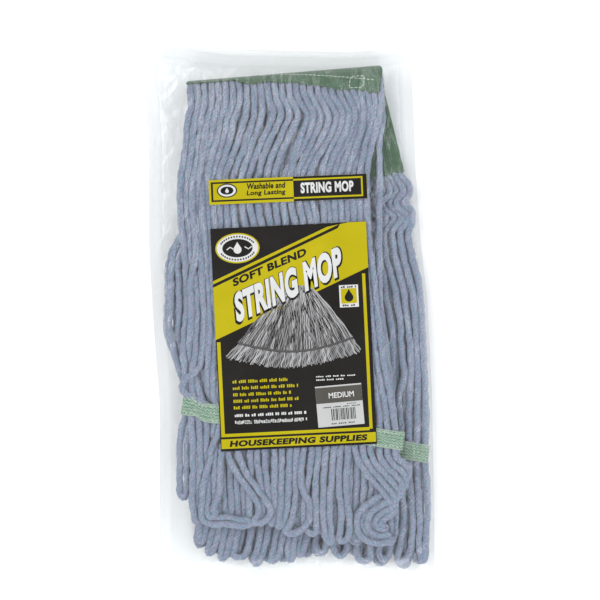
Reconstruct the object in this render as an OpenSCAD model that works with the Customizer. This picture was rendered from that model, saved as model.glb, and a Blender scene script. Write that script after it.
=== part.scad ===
// Looped-end string mop head, folded at its headband and packed flat in a clear film bag.
// Millimetres. The pack lies on its back film: +Z is up, +Y runs from the bag's mouth to its sealed end.

/* [Yarn] */
// Thickness of one pressed course of yarn
course_t = 5.6; // [4.6:0.1:6.8]
// Thickness of one course where the headband is sewn through it
sewn_t = 4.3; // [3.5:0.1:4.8]
// Free gap between two courses that lie on each other
course_gap = 0.2; // [0.1:0.05:0.4]
// How far the looped ends hang below the tail tape, at the right
loop_drop = 92; // [76:1:98]

/* [Headband] */
// Length of the headband along the fold
band_l = 166; // [138:1:172]
// Depth of the headband on the front half, from the fold down, at its right end
band_front = 25; // [21:1:32]
// Depth of the headband on the back half, from the fold down, at its right end
band_back = 90; // [75:1:108]
// Thickness of the headband mesh
mesh_t = 1.0; // [0.8:0.1:1.2]
// Thickness of the lining tape inside the fold
lining_t = 0.8; // [0.6:0.1:1.0]
// Depth of the lining tape on each side, from the fold down
lining_depth = 32; // [26:1:39]
// Number of sewn rows across the back of the headband
sewn_rows = 4; // [2:1:5]
// Diameter of the sewing thread
thread_d = 0.7; // [0.5:0.1:0.9]

/* [Tail tape] */
// Width of the tail tape
tail_w = 16; // [13:1:20]
// Thickness of the tail tape
tail_t = 0.8; // [0.6:0.1:1.0]
// Length of each tail tape, across the yarn
tail_l = 187; // [156:1:190]

/* [Bag] */
// Width of the bag as it lies
bag_w = 236; // [234:1:284]
// Length of the bag, from its mouth to its sealed end
bag_l = 448; // [444:1:538]
// Thickness of the bag film
film_t = 0.12; // [0.1:0.01:0.2]
// Free gap between the film and what lies in the bag
film_gap = 0.4; // [0.3:0.05:0.6]
// Width of the slope from a side seam up to the bag's flat top
shoulder_w = 14; // [11:0.5:14.5]
// How far the side seams lie below the middle of the pack's thickness
seam_drop = 6.5; // [4:0.5:9]

/* [Printing] */
// Width of the main panel
panel_w = 129.5; // [105:0.5:156]
// Height of the main panel
panel_h = 185; // [154:1:200]
// Width of the header panel
header_w = 131.5; // [105:0.5:158]
// Height of the header panel
header_h = 20.5; // [16:0.5:25]
// Width of the size sticker
sticker_w = 38.5; // [32:0.5:46]
// Height of the size sticker
sticker_h = 34; // [28:0.5:41]
// Thickness of the printed layer
ink_t = 0.1; // [0.08:0.01:0.15]
// Thickness of the paper sticker
paper_t = 0.15; // [0.1:0.01:0.2]

/* [Hidden] */

// Colours
yarn_blue = [0.53, 0.57, 0.65];
loop_blue = [0.50, 0.55, 0.62];
band_green = [0.36, 0.50, 0.37];
tape_green = [0.60, 0.70, 0.60];
thread_white = [0.85, 0.88, 0.84];
film_clear = [0.92, 0.94, 0.94];
panel_black = [0.08, 0.08, 0.09];
panel_yellow = [0.90, 0.86, 0.12];
paper_white = [0.93, 0.93, 0.93];

// ---- Heights, from the floor up ----
courses = 3;                                     // courses of yarn in each half
touch_gap = 0.1;                                 // between cloth and what it is sewn to
lay_gap = 0.02;                                  // between thread or ink and what it lies on
joint_gap = 0.3;                                 // between two lengths of the same course
course_pitch = course_t + course_gap;
stack_t = courses * course_pitch - course_gap;
cover_t = touch_gap + max(mesh_t, tail_t) + thread_d;
back_z = film_t + film_gap + cover_t;            // underside of the back half's yarn
front_z = back_z + stack_t + 2 * (touch_gap + tail_t) + course_gap;
front_top = front_z + stack_t;
mid_z = (back_z + front_top) / 2;                // height of the fold's axis
film_in = front_top + cover_t + film_gap;        // inside of the bag's flat top
film_top = film_in + film_t;
seam_z = mid_z - seam_drop;                      // height of the side seams

// ---- The headband, in the fold's own frame: X along the fold, Y = 0 at its crest, Z = 0 at its axis ----
fold_left = [-86.5, 193];                        // left end of the crest
fold_turn = 4.7;
fold_r = front_top - mid_z + touch_gap + mesh_t; // outside of the folded band
sewn_outer = fold_r - mesh_t - touch_gap;        // outside of the sewn yarn
sewn_pitch = sewn_t + course_gap;
lining_r = sewn_outer - courses * sewn_pitch + course_gap - touch_gap;
eye_r = lining_r - lining_t;                     // radius of the eye that a handle's bar fits
sewn_front = lining_depth + 2;                   // depth of the sewn yarn on the front half
yarn_inset = 1;                                  // the yarn stops this short of the band's ends
front_bare = 42;                                 // the crest's left stretch that the front flap leaves bare
crest_lead = 1;                                  // the front flap's edge line starts this far past the crest

function turned(a, p) = [p.x * cos(a) - p.y * sin(a), p.x * sin(a) + p.y * cos(a)];

front_flap_turn = -11.7;
back_flap_turn = 7.3;
front_corner = [band_l, 0] + turned(front_flap_turn, [0, -band_front]);
// A point of the back flap: x from its left side, y up from its lower edge.
function back_flap(x, y) = [band_l, 0] + turned(back_flap_turn, [x - band_l, y - band_back]);
// Where the front flap's slanting edge lies, at a depth from the crest.
function front_edge_x(depth) =
    front_bare + (front_corner.x - front_bare) * (depth + crest_lead) / (crest_lead - front_corner.y);
// A point of the fold's frame in the whole object's plan.
function in_plan(p) = fold_left + turned(fold_turn, p);

// ---- Yarn outlines, in plan ----
back_inset_bottom = 7;
tail_turn = -9;
front_tail = [3.5, -94];                         // middle of the front half's tail tape
back_tail = front_tail + [22, -12];
yarn_margin = 3;                                 // the tail tape stands this far past the yarn
under_cut = back_inset_bottom + yarn_margin;     // the lowest tape stops short by this at the right

// A point on a tail tape's middle line: side runs from -1 at its left end to 1 at its right.
function tail_point(middle, side) =
    middle + turned(tail_turn, [side * (tail_l / 2 - yarn_margin), 0]);

// Side lines from the band down to the tail tape: [share of the way down, distance outwards].
front_bulge_l = [[0.04, 3], [0.25, 5.5], [0.38, 6], [0.48, 11.5], [0.58, 13], [0.76, 11], [0.91, 2]];
front_bulge_r = [[0.12, -4], [0.27, -12.5], [0.44, -13], [0.61, -8], [0.8, -3]];
back_bulge_l = [[0.18, 16], [0.33, 26], [0.65, 26], [0.85, 14]];
back_bulge_r = [[0.1, 5], [0.16, 4], [0.23, -4], [0.31, 5], [0.43, 9], [0.6, 8], [0.8, 6]];
// How much narrower each course is at a side than the widest one.
front_inset = [6, 2, 0];                         // top, middle, inner
back_inset = [0, 3, back_inset_bottom];          // inner, middle, bottom

function side_line(a, b, bulge, inset, way) =
    [for (p = bulge) a + (b - a) * p[0] + [way * (p[1] - inset), 0]];

// Edges of the looped ends: [side along the tape, share of the drop].
front_loop_edge = [[-1.04, 0.34], [-1.04, 0.75], [-0.92, 0.88], [-0.84, 1.04], [-0.25, 1.02],
    [0.3, 1.04], [0.67, 1.05], [0.98, 1], [1, 0.6]];
back_loop_edge = [[-1.08, 0.3], [-1.15, 1.12], [-0.95, 1.29], [-0.5, 1.26], [0.15, 1.03],
    [0.38, 1.04], [0.74, 1.07], [1.0, 1.02], [1.03, 0.75], [1.03, 0.2]];

// ---- The bag, in plan ----
seal_y = 224;                                    // where its sealed end lies
// Sides: [Y, distance from the straight edge].
bag_side_l = [[-224, 9], [-76, 9], [-13, 4], [54, 0], [143, 0], [197, -5], [224, 2]];
bag_side_r = [[-224, 5], [-180, 5], [-72, 3], [9, -1], [54, -6.5], [112, -10.5], [197, -14], [224, -11]];
// Ends: [share of its width, distance from the straight edge].
bag_mouth = [[0, -3], [0.3, -5], [0.5, 2], [0.7, 1], [1, 2]];
bag_end = [[0, 2], [0.12, 5], [0.3, -1], [0.6, -5], [0.88, -4], [1, 3]];
belly_w = 10;                                    // width of the curve under a side seam
end_slope_w = 15;                                // length of the slope down to the sealed end
end_seal_w = 4;                                  // width of the welded end
side_seal_w = 0.5;                               // width of the welded sides
weld_gap = 0.1;                                  // between the two films at their weld
// Shares across and along the bag at which its films bend.
across = [0, 0.02, 0.04, 0.06, 0.12, 0.3, 0.5, 0.7, 0.88, 0.94, 0.96, 0.98, 1];
along = [0, 0.1, 0.2, 0.34, 0.47, 0.52, 0.62, 0.75, 0.84, 0.9, 0.94, 0.96, 0.975, 0.985, 0.99, 1];

function along_y(v) = seal_y - bag_l * (1 - v);
function bag_l_x(v) = -bag_w / 2 + lookup(along_y(v), bag_side_l);
function bag_r_x(v) = bag_w / 2 + lookup(along_y(v), bag_side_r);
function bag_mouth_y(u) = along_y(0) + lookup(u, bag_mouth);
function bag_end_y(u) = seal_y + lookup(u, bag_end);
function bag_plan(u, v) = [
    bag_l_x(v) * (1 - u) + bag_r_x(v) * u,
    bag_mouth_y(u) * (1 - v) + bag_end_y(u) * v
];
function ease(t) = sin(90 * min(1, max(0, t)));
// 0 at the welds and 1 where the film lies flat, after a slope of width w.
function rise(u, v, w) =
    ease((min(u, 1 - u) * (bag_r_x(v) - bag_l_x(v)) - side_seal_w) / w)
    * ease(((1 - v) * (bag_end_y(u) - bag_mouth_y(u)) - end_seal_w) / end_slope_w);
function front_film_z(u, v) = seam_z + weld_gap + (film_in - seam_z - weld_gap) * rise(u, v, shoulder_w);
function back_film_z(u, v) = (seam_z - film_t) * (1 - rise(u, v, belly_w));

// ---- Shapes that repeat ----

module in_fold() {
    translate([fold_left.x, fold_left.y, mid_z]) rotate([0, 0, fold_turn]) children();
}

// The half tube that goes round the fold.
module half_tube(inner, outer, inset) {
    translate([inset, -fold_r, 0]) rotate([90, 0, 90]) linear_extrude(band_l - 2 * inset)
        difference() {
            circle(outer, $fn = 96);
            circle(inner, $fn = 96);
            translate([-2 * outer, -2 * outer]) square([2 * outer, 4 * outer]);
        }
}

// A flat piece with the given outline, its underside at height z.
module plate(points, z, t) {
    translate([0, 0, z]) linear_extrude(t) polygon(points);
}

// One course of yarn round the fold: level 0 is the outer one.
module fold_course(level) {
    outer = sewn_outer - level * sewn_pitch;
    inner = outer - sewn_t;
    color(yarn_blue) in_fold() {
        half_tube(inner, outer, yarn_inset);
        plate([[yarn_inset, -fold_r], [yarn_inset, -sewn_front],
            [band_l - yarn_inset, -sewn_front], [band_l - yarn_inset, -fold_r]], inner, sewn_t);
        plate([[yarn_inset, -fold_r], back_flap(yarn_inset, 0),
            back_flap(band_l - yarn_inset, 0), [band_l - yarn_inset, -fold_r]], -outer, sewn_t);
    }
}

// One course of the front half from the sewn yarn to the tail tape: level 0 is the top one.
module front_course(level) {
    depth = sewn_front + joint_gap;
    left = in_plan([yarn_inset, -depth]);
    right = in_plan([band_l - yarn_inset, -depth]);
    low_left = tail_point(front_tail, -1) + [0, joint_gap / 2];
    low_right = tail_point(front_tail, 1) + [0, joint_gap / 2];
    inset = front_inset[level];
    color(yarn_blue) plate(concat(
        [left], side_line(left, low_left, front_bulge_l, inset, -1),
        [low_left, low_right], side_line(low_right, right, mirrored(front_bulge_r), inset, 1), [right]
    ), front_top - course_t - level * course_pitch, course_t);
}

// One course of the back half: level 0 is the inner one.
module back_course(level) {
    left = in_plan(back_flap(yarn_inset, -joint_gap));
    right = in_plan(back_flap(band_l - yarn_inset, -joint_gap));
    low_left = tail_point(back_tail, -1) + [0, joint_gap / 2];
    low_right = tail_point(back_tail, 1) + [-back_inset[level], joint_gap / 2];
    inset = back_inset[level];
    color(yarn_blue) plate(concat(
        [left], side_line(left, low_left, back_bulge_l, inset, -1),
        [low_left, low_right], side_line(low_right, right, mirrored(back_bulge_r), inset, 1), [right]
    ), back_z + (courses - 1 - level) * course_pitch, course_t);
}

// A side line's points from its other end.
function mirrored(bulge) = [for (i = [len(bulge) - 1:-1:0]) [1 - bulge[i][0], bulge[i][1]]];

// One course of looped ends below a tail tape.
module loops(middle, edge, inset, z) {
    color(loop_blue) plate(concat(
        [tail_point(middle, -1) - [0, joint_gap / 2]],
        [for (p = edge) tail_point(middle, p[0]) - [sign(p[0]) * inset, p[1] * loop_drop]],
        [tail_point(middle, 1) - [inset, joint_gap / 2]]
    ), z, course_t);
}

// A tape laid across the yarn, which stops short of its full length at the right by cut.
module tape(middle, z, cut = 0) {
    color(tape_green) translate([middle.x, middle.y, z]) rotate([0, 0, tail_turn])
        translate([-tail_l / 2, -tail_w / 2, 0]) cube([tail_l - cut, tail_w, tail_t]);
}

// A straight sewn row that starts at a point and runs along X.
module thread_row(start, length) {
    translate(start) rotate([0, 90, 0]) cylinder(h = length, d = thread_d, $fn = 24);
}

// The two sewn rows along a tail tape's edges.
module tape_rows(middle, z, cut = 0) {
    row_inset = 2;
    color(thread_white) translate([middle.x, middle.y, z]) rotate([0, 0, tail_turn])
        for (side = [-1, 1])
            thread_row([row_inset - tail_l / 2, side * (tail_w / 2 - row_inset), 0],
                tail_l - cut - 2 * row_inset);
}

// A rectangle that lies on the bag's flat top.
module label(middle, turn, w, h, z, t) {
    translate([middle.x, middle.y, z]) rotate([0, 0, turn]) translate([-w / 2, -h / 2, 0]) cube([w, h, t]);
}

// A film through the given heights, one for each pair of shares.
module film(heights) {
    nu = len(across);
    nv = len(along);
    n = nu * nv;
    low = [for (j = [0:nv - 1], i = [0:nu - 1])
        let (p = bag_plan(across[i], along[j])) [p.x, p.y, heights[j * nu + i]]];
    high = [for (p = low) p + [0, 0, film_t]];
    cells = [for (j = [0:nv - 2], i = [0:nu - 2])
        let (a = j * nu + i, b = a + 1, c = a + nu, d = c + 1)
        each [[a, b, c], [b, d, c], [n + a, n + c, n + b], [n + b, n + c, n + d]]];
    border = concat(
        [for (i = [0:nu - 2]) [i, i + 1]],
        [for (j = [0:nv - 2]) [j * nu + nu - 1, (j + 1) * nu + nu - 1]],
        [for (i = [nu - 1:-1:1]) [(nv - 1) * nu + i, (nv - 1) * nu + i - 1]],
        [for (j = [nv - 1:-1:1]) [j * nu, (j - 1) * nu]]
    );
    rim = [for (e = border) each [[e[0], n + e[0], e[1]], [e[1], n + e[0], n + e[1]]]];
    color(film_clear) polyhedron(concat(low, high), concat(cells, rim));
}

// ---- Headband ----

module headband_mesh() {
    color(band_green) in_fold() {
        difference() {
            half_tube(fold_r - mesh_t, fold_r, 0);
            plate([[-1, crest_lead], [front_bare, crest_lead], front_corner,
                [front_corner.x, -2 * fold_r], [-1, -2 * fold_r]], 0, 2 * fold_r);
        }
        plate([[front_edge_x(fold_r), -fold_r], front_corner, [band_l, -fold_r]], fold_r - mesh_t, mesh_t);
        plate([[0, -fold_r], back_flap(0, 0), back_flap(band_l, 0), [band_l, -fold_r]], -fold_r, mesh_t);
    }
}

module headband_lining() {
    color(tape_green) in_fold() {
        half_tube(eye_r, lining_r, 0);
        for (z = [-lining_r, eye_r])
            plate([[0, -fold_r], [0, -lining_depth], [band_l, -lining_depth], [band_l, -fold_r]], z, lining_t);
    }
}

module headband_stitching() {
    row_inset = 4;
    row_step = (band_back - fold_r - 2 * row_inset) / sewn_rows;
    thread_z = fold_r + lay_gap + thread_d / 2;
    crest_depth = 12;                            // the front row's depth from the crest
    crest_start = front_edge_x(crest_depth + row_inset);
    color(thread_white) in_fold() {
        for (i = [0:sewn_rows - 1]) {
            start = back_flap(row_inset, row_inset + i * row_step);
            translate([start.x, start.y, -thread_z]) rotate([0, 0, back_flap_turn])
                thread_row([0, 0, 0], band_l - 2 * row_inset);
        }
        thread_row([crest_start, -crest_depth, sqrt(thread_z * thread_z - pow(fold_r - crest_depth, 2))],
            band_l - row_inset - crest_start);
    }
}

// ---- Yarn ----

module fold_yarn_outer() fold_course(0);
module fold_yarn_middle() fold_course(1);
module fold_yarn_inner() fold_course(2);

module front_yarn_top() front_course(0);
module front_yarn_middle() front_course(1);
module front_yarn_inner() front_course(2);

module back_yarn_inner() back_course(0);
module back_yarn_middle() back_course(1);
module back_yarn_bottom() back_course(2);

module front_loops(level) {
    loops(front_tail, front_loop_edge, front_inset[level], front_top - course_t - level * course_pitch);
}
module front_loops_top() front_loops(0);
module front_loops_middle() front_loops(1);
module front_loops_inner() front_loops(2);

module back_loops(level) {
    loops(back_tail, back_loop_edge, back_inset[level], back_z + (courses - 1 - level) * course_pitch);
}
module back_loops_inner() back_loops(0);
module back_loops_middle() back_loops(1);
module back_loops_bottom() back_loops(2);

// ---- Tail tapes ----

module front_tail_tape_outer() tape(front_tail, front_top + touch_gap);
module front_tail_tape_inner() tape(front_tail, front_z - touch_gap - tail_t);
module front_tail_stitching() tape_rows(front_tail, front_top + touch_gap + tail_t + lay_gap + thread_d / 2);
module back_tail_tape_inner() tape(back_tail, back_z + stack_t + touch_gap, yarn_margin);
module back_tail_tape_outer() tape(back_tail, back_z - touch_gap - tail_t, under_cut);
module back_tail_stitching()
    tape_rows(back_tail, back_z - touch_gap - tail_t - lay_gap - thread_d / 2, under_cut);

// ---- Bag ----

module bag_front_film() film([for (v = along, u = across) front_film_z(u, v)]);
module bag_back_film() film([for (v = along, u = across) back_film_z(u, v)]);

panel_z = film_top + lay_gap;
module main_panel() color(panel_black) label([4.2, -21.1], 2.8, panel_w, panel_h, panel_z, ink_t);
module header_panel() color(panel_yellow) label([-0.5, 101], 2.4, header_w, header_h, panel_z, ink_t);
module size_sticker()
    color(paper_white) label([42.5, -78.3], 5, sticker_w, sticker_h, panel_z + ink_t + lay_gap, paper_t);

headband_mesh();
headband_lining();
headband_stitching();
fold_yarn_outer();
fold_yarn_middle();
fold_yarn_inner();
front_yarn_top();
front_yarn_middle();
front_yarn_inner();
back_yarn_inner();
back_yarn_middle();
back_yarn_bottom();
front_loops_top();
front_loops_middle();
front_loops_inner();
back_loops_inner();
back_loops_middle();
back_loops_bottom();
front_tail_tape_outer();
front_tail_tape_inner();
front_tail_stitching();
back_tail_tape_inner();
back_tail_tape_outer();
back_tail_stitching();
bag_front_film();
bag_back_film();
main_panel();
header_panel();
size_sticker();
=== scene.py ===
"""Looped-end string mop head, folded at its headband and packed flat in a clear film bag.

Lengths in the working functions are millimetres in the mop's own frame, and metres once a mesh is made.
"""

import math

import bmesh
import bpy
import mathutils
import numpy as np
from bpy.props import FloatProperty, FloatVectorProperty, IntProperty, PointerProperty, StringProperty
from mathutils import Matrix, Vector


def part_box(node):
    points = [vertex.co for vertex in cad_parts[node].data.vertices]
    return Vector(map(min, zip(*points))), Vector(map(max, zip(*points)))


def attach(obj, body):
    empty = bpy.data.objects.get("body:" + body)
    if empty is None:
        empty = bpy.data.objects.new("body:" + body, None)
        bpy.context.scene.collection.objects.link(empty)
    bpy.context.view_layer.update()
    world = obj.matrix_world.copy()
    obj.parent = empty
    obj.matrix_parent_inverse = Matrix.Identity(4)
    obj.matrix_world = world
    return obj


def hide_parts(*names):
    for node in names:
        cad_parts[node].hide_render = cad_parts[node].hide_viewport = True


bl_info = {
    "name": "Looped-end string mop head",
    "version": (1, 0, 0),
    "blender": (4, 5, 0),
    "location": "View3D > Sidebar > Mop",
    "description": "Yarn, headband, tail tapes, bag and printing of a packed string mop head",
    "category": "Add Mesh",
}

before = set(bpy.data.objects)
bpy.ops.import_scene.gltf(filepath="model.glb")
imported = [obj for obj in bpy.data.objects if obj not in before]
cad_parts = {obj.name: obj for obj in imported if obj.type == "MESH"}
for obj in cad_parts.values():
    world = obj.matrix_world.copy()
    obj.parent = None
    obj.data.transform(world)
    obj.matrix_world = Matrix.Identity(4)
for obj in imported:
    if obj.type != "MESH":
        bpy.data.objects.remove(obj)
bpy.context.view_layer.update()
MM = 0.001


def low(node):
    return np.array(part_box(node)[0]) / MM


def high(node):
    return np.array(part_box(node)[1]) / MM


# ---- Sizes that the pieces share ----

MID_Z = (low("back_yarn_bottom")[2] + high("front_yarn_top")[2]) / 2
FOLD_R = 19.3            # outside of the folded band
FOLD_LEFT = (-86.5, 193.0)
FOLD_TURN = 4.7
BAND_L = 166.0
BAND_BACK = 90.0
BACK_FLAP_TURN = 7.3
FRONT_BARE = 42.0        # the crest's left stretch that the front flap leaves bare
FRONT_CORNER = (160.9, -24.5)
SEWN_RADII = (16.05, 11.55, 7.05)
TAIL_TURN = -9.0
TAIL_L = 187.0
FRONT_TAIL = (3.5, -94.0)
BACK_TAIL = (25.5, -106.0)


def turned(degrees, x, y):
    c, s = math.cos(math.radians(degrees)), math.sin(math.radians(degrees))
    return c * x - s * y, s * x + c * y


def in_plan(x, y):
    """A point of the fold's frame in the mop's plan."""
    a, b = turned(FOLD_TURN, x, y)
    return FOLD_LEFT[0] + a, FOLD_LEFT[1] + b


def back_flap(x, y):
    """A point of the back flap in the fold's frame: x from its left side, y up from its lower edge."""
    a, b = turned(BACK_FLAP_TURN, x - BAND_L, y - BAND_BACK)
    return BAND_L + a, b


def tail_point(middle, along, across=0.0):
    a, b = turned(TAIL_TURN, along, across)
    return middle[0] + a, middle[1] + b


def smooth_step(t):
    t = np.clip(t, 0.0, 1.0)
    return t * t * (3 - 2 * t)


# ---- Sizes and colours that a user would change ----


def colour(name, description, default):
    return FloatVectorProperty(name=name, description=description, default=default, subtype="COLOR", size=3,
        min=0, max=1)


def length(name, description, default, low_end, high_end):
    return FloatProperty(name=name, description=description, default=default, min=low_end, max=high_end,
        unit="LENGTH", precision=4)


def portion(name, description, default, most=1.0):
    return FloatProperty(name=name, description=description, default=default, min=0, max=most)


class YarnSettings(bpy.types.PropertyGroup):
    radius: length("Yarn radius", "Half the thickness of one strand", 0.00305, 0.0022, 0.0034)
    twist: length("Twist length", "Length in which the four plies turn once", 0.017, 0.012, 0.05)
    groove: portion("Ply groove", "Depth of the groove between two plies, as a share of the radius", 0.1, 0.4)
    strands: IntProperty(
        name="Strands", description="Strands in one course of yarn, an even number", default=28, min=20,
        max=30
    )
    waviness: length("Waviness", "How far a strand wanders sideways", 0.002, 0, 0.006)
    seed: IntProperty(
        name="Seed", description="Another number gives another lay of the strands", default=7, min=0, max=9999
    )
    tone: colour("Yarn", "Main colour of the yarn", (0.222, 0.292, 0.404))
    shade: colour("Shaded fibre", "Colour of the darker fibres", (0.122, 0.170, 0.28))
    pale: colour("Pale fibre", "Colour of the lighter fibres", (0.375, 0.425, 0.515))
    fleck: colour("Fleck", "Colour of the scattered coloured fibres", (0.325, 0.295, 0.445))
    cool: colour("Cool cast", "Colour of the bluer stretches", (0.185, 0.315, 0.415))


class BandSettings(bpy.types.PropertyGroup):
    cloth: colour("Headband", "Colour of the headband's woven mesh", (0.042, 0.116, 0.050))
    cloth_dark: colour("Headband gaps", "Colour between the headband's threads", (0.022, 0.055, 0.028))
    tape: colour("Tape", "Colour of the tail tapes", (0.07, 0.185, 0.11))
    tape_light: colour("Tape thread", "Colour of the light threads in the tapes", (0.42, 0.50, 0.41))
    thread: colour("Sewing thread", "Colour of the sewing thread", (0.46, 0.52, 0.45))
    weave: length("Weave", "Distance between two threads of the headband", 0.0021, 0.0008, 0.004)
    rib: length("Ribs", "Height of the ribs that the strands press into the headband", 0.0002, 0, 0.0012)
    stitch: length("Stitch", "Length of one stitch", 0.0034, 0.002, 0.008)


class BagSettings(bpy.types.PropertyGroup):
    wrinkle: length("Wrinkles", "Height of the wrinkles in the film", 0.0009, 0, 0.003)
    tint: colour("Film", "Colour of the light that the film lets through", (0.977, 0.982, 0.984))
    roughness: portion("Film roughness", "Roughness of the film's surface", 0.16)
    haze: portion("Haze", "Share of light that the film scatters", 0.012, 0.3)


class PrintSettings(bpy.types.PropertyGroup):
    black: colour("Black ink", "Colour of the black printing", (0.010, 0.009, 0.008))
    yellow: colour("Yellow ink", "Colour of the yellow printing", (0.40, 0.34, 0.002))
    white: colour("White ink", "Colour of the white printing and the sticker", (0.56, 0.565, 0.565))
    grey: colour("Grey ink", "Colour of the sticker's dark strip", (0.068, 0.064, 0.054))
    title: StringProperty(name="Title", description="Words of the title", default="STRING MOP")
    size_word: StringProperty(name="Size", description="Word on the size sticker", default="MEDIUM")


class StageSettings(bpy.types.PropertyGroup):
    floor: colour("Floor", "Colour of the floor", (0.93, 0.935, 0.94))
    light: FloatProperty(name="Light", description="Strength of the studio light", default=1.0, min=0, max=10)


# ---- Meshes ----


def mesh_piece(name, points, quads, uv=None, ngons=()):
    """A smooth-shaded piece from points in millimetres, quads, and per-corner uv."""
    data = bpy.data.meshes.new(name)
    points = np.asarray(points, np.float64).reshape(-1, 3) * MM
    quads = np.asarray(quads, np.int32).reshape(-1, 4)
    sizes = [4] * len(quads) + [len(n) for n in ngons]
    corners = np.concatenate([quads.ravel(), *(np.asarray(n, np.int32) for n in ngons)])
    starts = np.concatenate([[0], np.cumsum(sizes)[:-1]]).astype(np.int32)
    data.vertices.add(len(points))
    data.vertices.foreach_set("co", points.astype(np.float32).ravel())
    data.loops.add(len(corners))
    data.loops.foreach_set("vertex_index", corners.astype(np.int32))
    data.polygons.add(len(sizes))
    data.polygons.foreach_set("loop_start", starts)
    if uv is not None:
        layer = data.uv_layers.new(name="cloth")
        filled = np.zeros((len(corners), 2), np.float32)
        filled[: len(uv)] = uv
        layer.data.foreach_set("uv", filled.ravel())
    data.update(calc_edges=True)
    data.validate()
    data.polygons.foreach_set("use_smooth", np.ones(len(sizes), bool))
    data.update()
    piece = bpy.data.objects.new(name, data)
    bpy.context.scene.collection.objects.link(piece)
    return piece


def sheet_piece(name, top, thickness, u, v):
    """A closed thin sheet: top is a grid of points (nu, nv, 3) facing outwards, u and v are on the cloth."""
    nu, nv = top.shape[:2]
    du = np.gradient(top, axis=0)
    dv = np.gradient(top, axis=1)
    normal = np.cross(du, dv)
    normal /= np.maximum(np.linalg.norm(normal, axis=2, keepdims=True), 1e-9)
    under = top - normal * thickness
    points = np.concatenate([top.reshape(-1, 3), under.reshape(-1, 3)])
    index = np.arange(nu * nv).reshape(nu, nv)
    a, b, c, d = index[:-1, :-1].ravel(), index[1:, :-1].ravel(), index[1:, 1:].ravel(), index[:-1,
        1:].ravel()
    n = nu * nv
    upper = np.stack([a, b, c, d], 1)
    lower = np.stack([a, d, c, b], 1) + n
    ring = np.concatenate([index[:, 0], index[-1, 1:], index[-2::-1, -1], index[0, -2:0:-1]])
    nxt = np.roll(ring, -1)
    rim = np.stack([ring + n, nxt + n, nxt, ring], 1)
    quads = np.concatenate([upper, lower, rim])
    flat = np.stack([np.broadcast_to(u, (nu, nv)), np.broadcast_to(v, (nu, nv))], 2).reshape(-1, 2)
    flat = np.concatenate([flat, flat])
    return mesh_piece(name, points, quads, flat[quads.ravel()])


def settle(piece, body, slot, *nodes):
    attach(piece, body)
    if nodes:
        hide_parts(*nodes)
    return piece


def dress(piece, material):
    piece.data.materials.clear()
    piece.data.materials.append(material)


# ---- Measures in mm ----

# How far neighbouring strands press into each other.
PRESSED_IN = 0.5

# The bag's flat outline, the yarn's distance from its right side, its seam's drop and its film.
BAG_W = 236
BAG_L = 448
BAG_CLEAR = 2.4
SEAM_DROP = 6.5
FILM_T = 0.12

# The headband's cloth and its facing, whose radius in the fold and depth beyond it follow.
CLOTH_T = 0.9
FACING_T = 0.75
FACING_R = 4.3
FACING_DEPTH = 32.0

# The tail tapes.
TAPE_W = 16
TAPE_T = 0.7

# Corners (along the fold, down the front) of the stitched box on the headband.
STITCHED_BOX = ((139, 30), (151, 30), (151, 20), (139, 20), (139, 30))

# The films' creases, each a wave: its run along X and Y, its shift and its size.
CREASES = (
    (0.031, 0.11, 0.3, 0.5), (-0.05, 0.085, 1.9, 0.45), (0.09, 0.02, 4.0, 0.4), (0.14, -0.05, 2.2, 0.3),
    (-0.02, 0.19, 5.1, 0.3), (0.21, 0.12, 0.9, 0.18), (-0.17, 0.2, 3.3, 0.15),
)


# ---- Shader nodes ----


def node(tree, kind, sockets=None, **settings):
    made = tree.nodes.new(kind)
    for key, value in settings.items():
        setattr(made, key, value)
    for key, value in (sockets or {}).items():
        if isinstance(value, bpy.types.NodeSocket):
            tree.links.new(value, made.inputs[key])
        else:
            made.inputs[key].default_value = value
    return made


def math_node(tree, operation, a, b=0.0, clamp=False):
    return node(tree, "ShaderNodeMath", {0: a, 1: b}, operation=operation, use_clamp=clamp).outputs[0]


def ramp(tree, value, stops):
    made = node(tree, "ShaderNodeValToRGB", {"Fac": value})
    elements = made.color_ramp.elements
    while len(elements) < len(stops):
        elements.new(0.5)
    for element, (place, shade) in zip(elements, stops):
        element.position = place
        element.color = (*shade, 1.0) if hasattr(shade, "__len__") else (shade, shade, shade, 1.0)
    return made.outputs["Color"]


def mix_colour(tree, factor, a, b, blend="MIX"):
    made = tree.nodes.new("ShaderNodeMix")
    made.data_type = "RGBA"
    made.blend_type = blend
    for socket, value in ((made.inputs[0], factor), (made.inputs[6], a), (made.inputs[7], b)):
        if isinstance(value, bpy.types.NodeSocket):
            tree.links.new(value, socket)
        elif hasattr(value, "__len__"):
            socket.default_value = (*value[:3], 1.0)
        else:
            socket.default_value = value
    return made.outputs[2]


def group(name, ins, outs):
    """A node group with its input and output nodes, or the one that is there already with None twice."""
    there = bpy.data.node_groups.get(name)
    if there:
        return there, None, None
    tree = bpy.data.node_groups.new(name, "ShaderNodeTree")
    for label, kind, default in ins:
        socket = tree.interface.new_socket(name=label, in_out="INPUT", socket_type=kind)
        if default is not None:
            socket.default_value = default
    for label, kind in outs:
        tree.interface.new_socket(name=label, in_out="OUTPUT", socket_type=kind)
    return tree, tree.nodes.new("NodeGroupInput"), tree.nodes.new("NodeGroupOutput")


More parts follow.
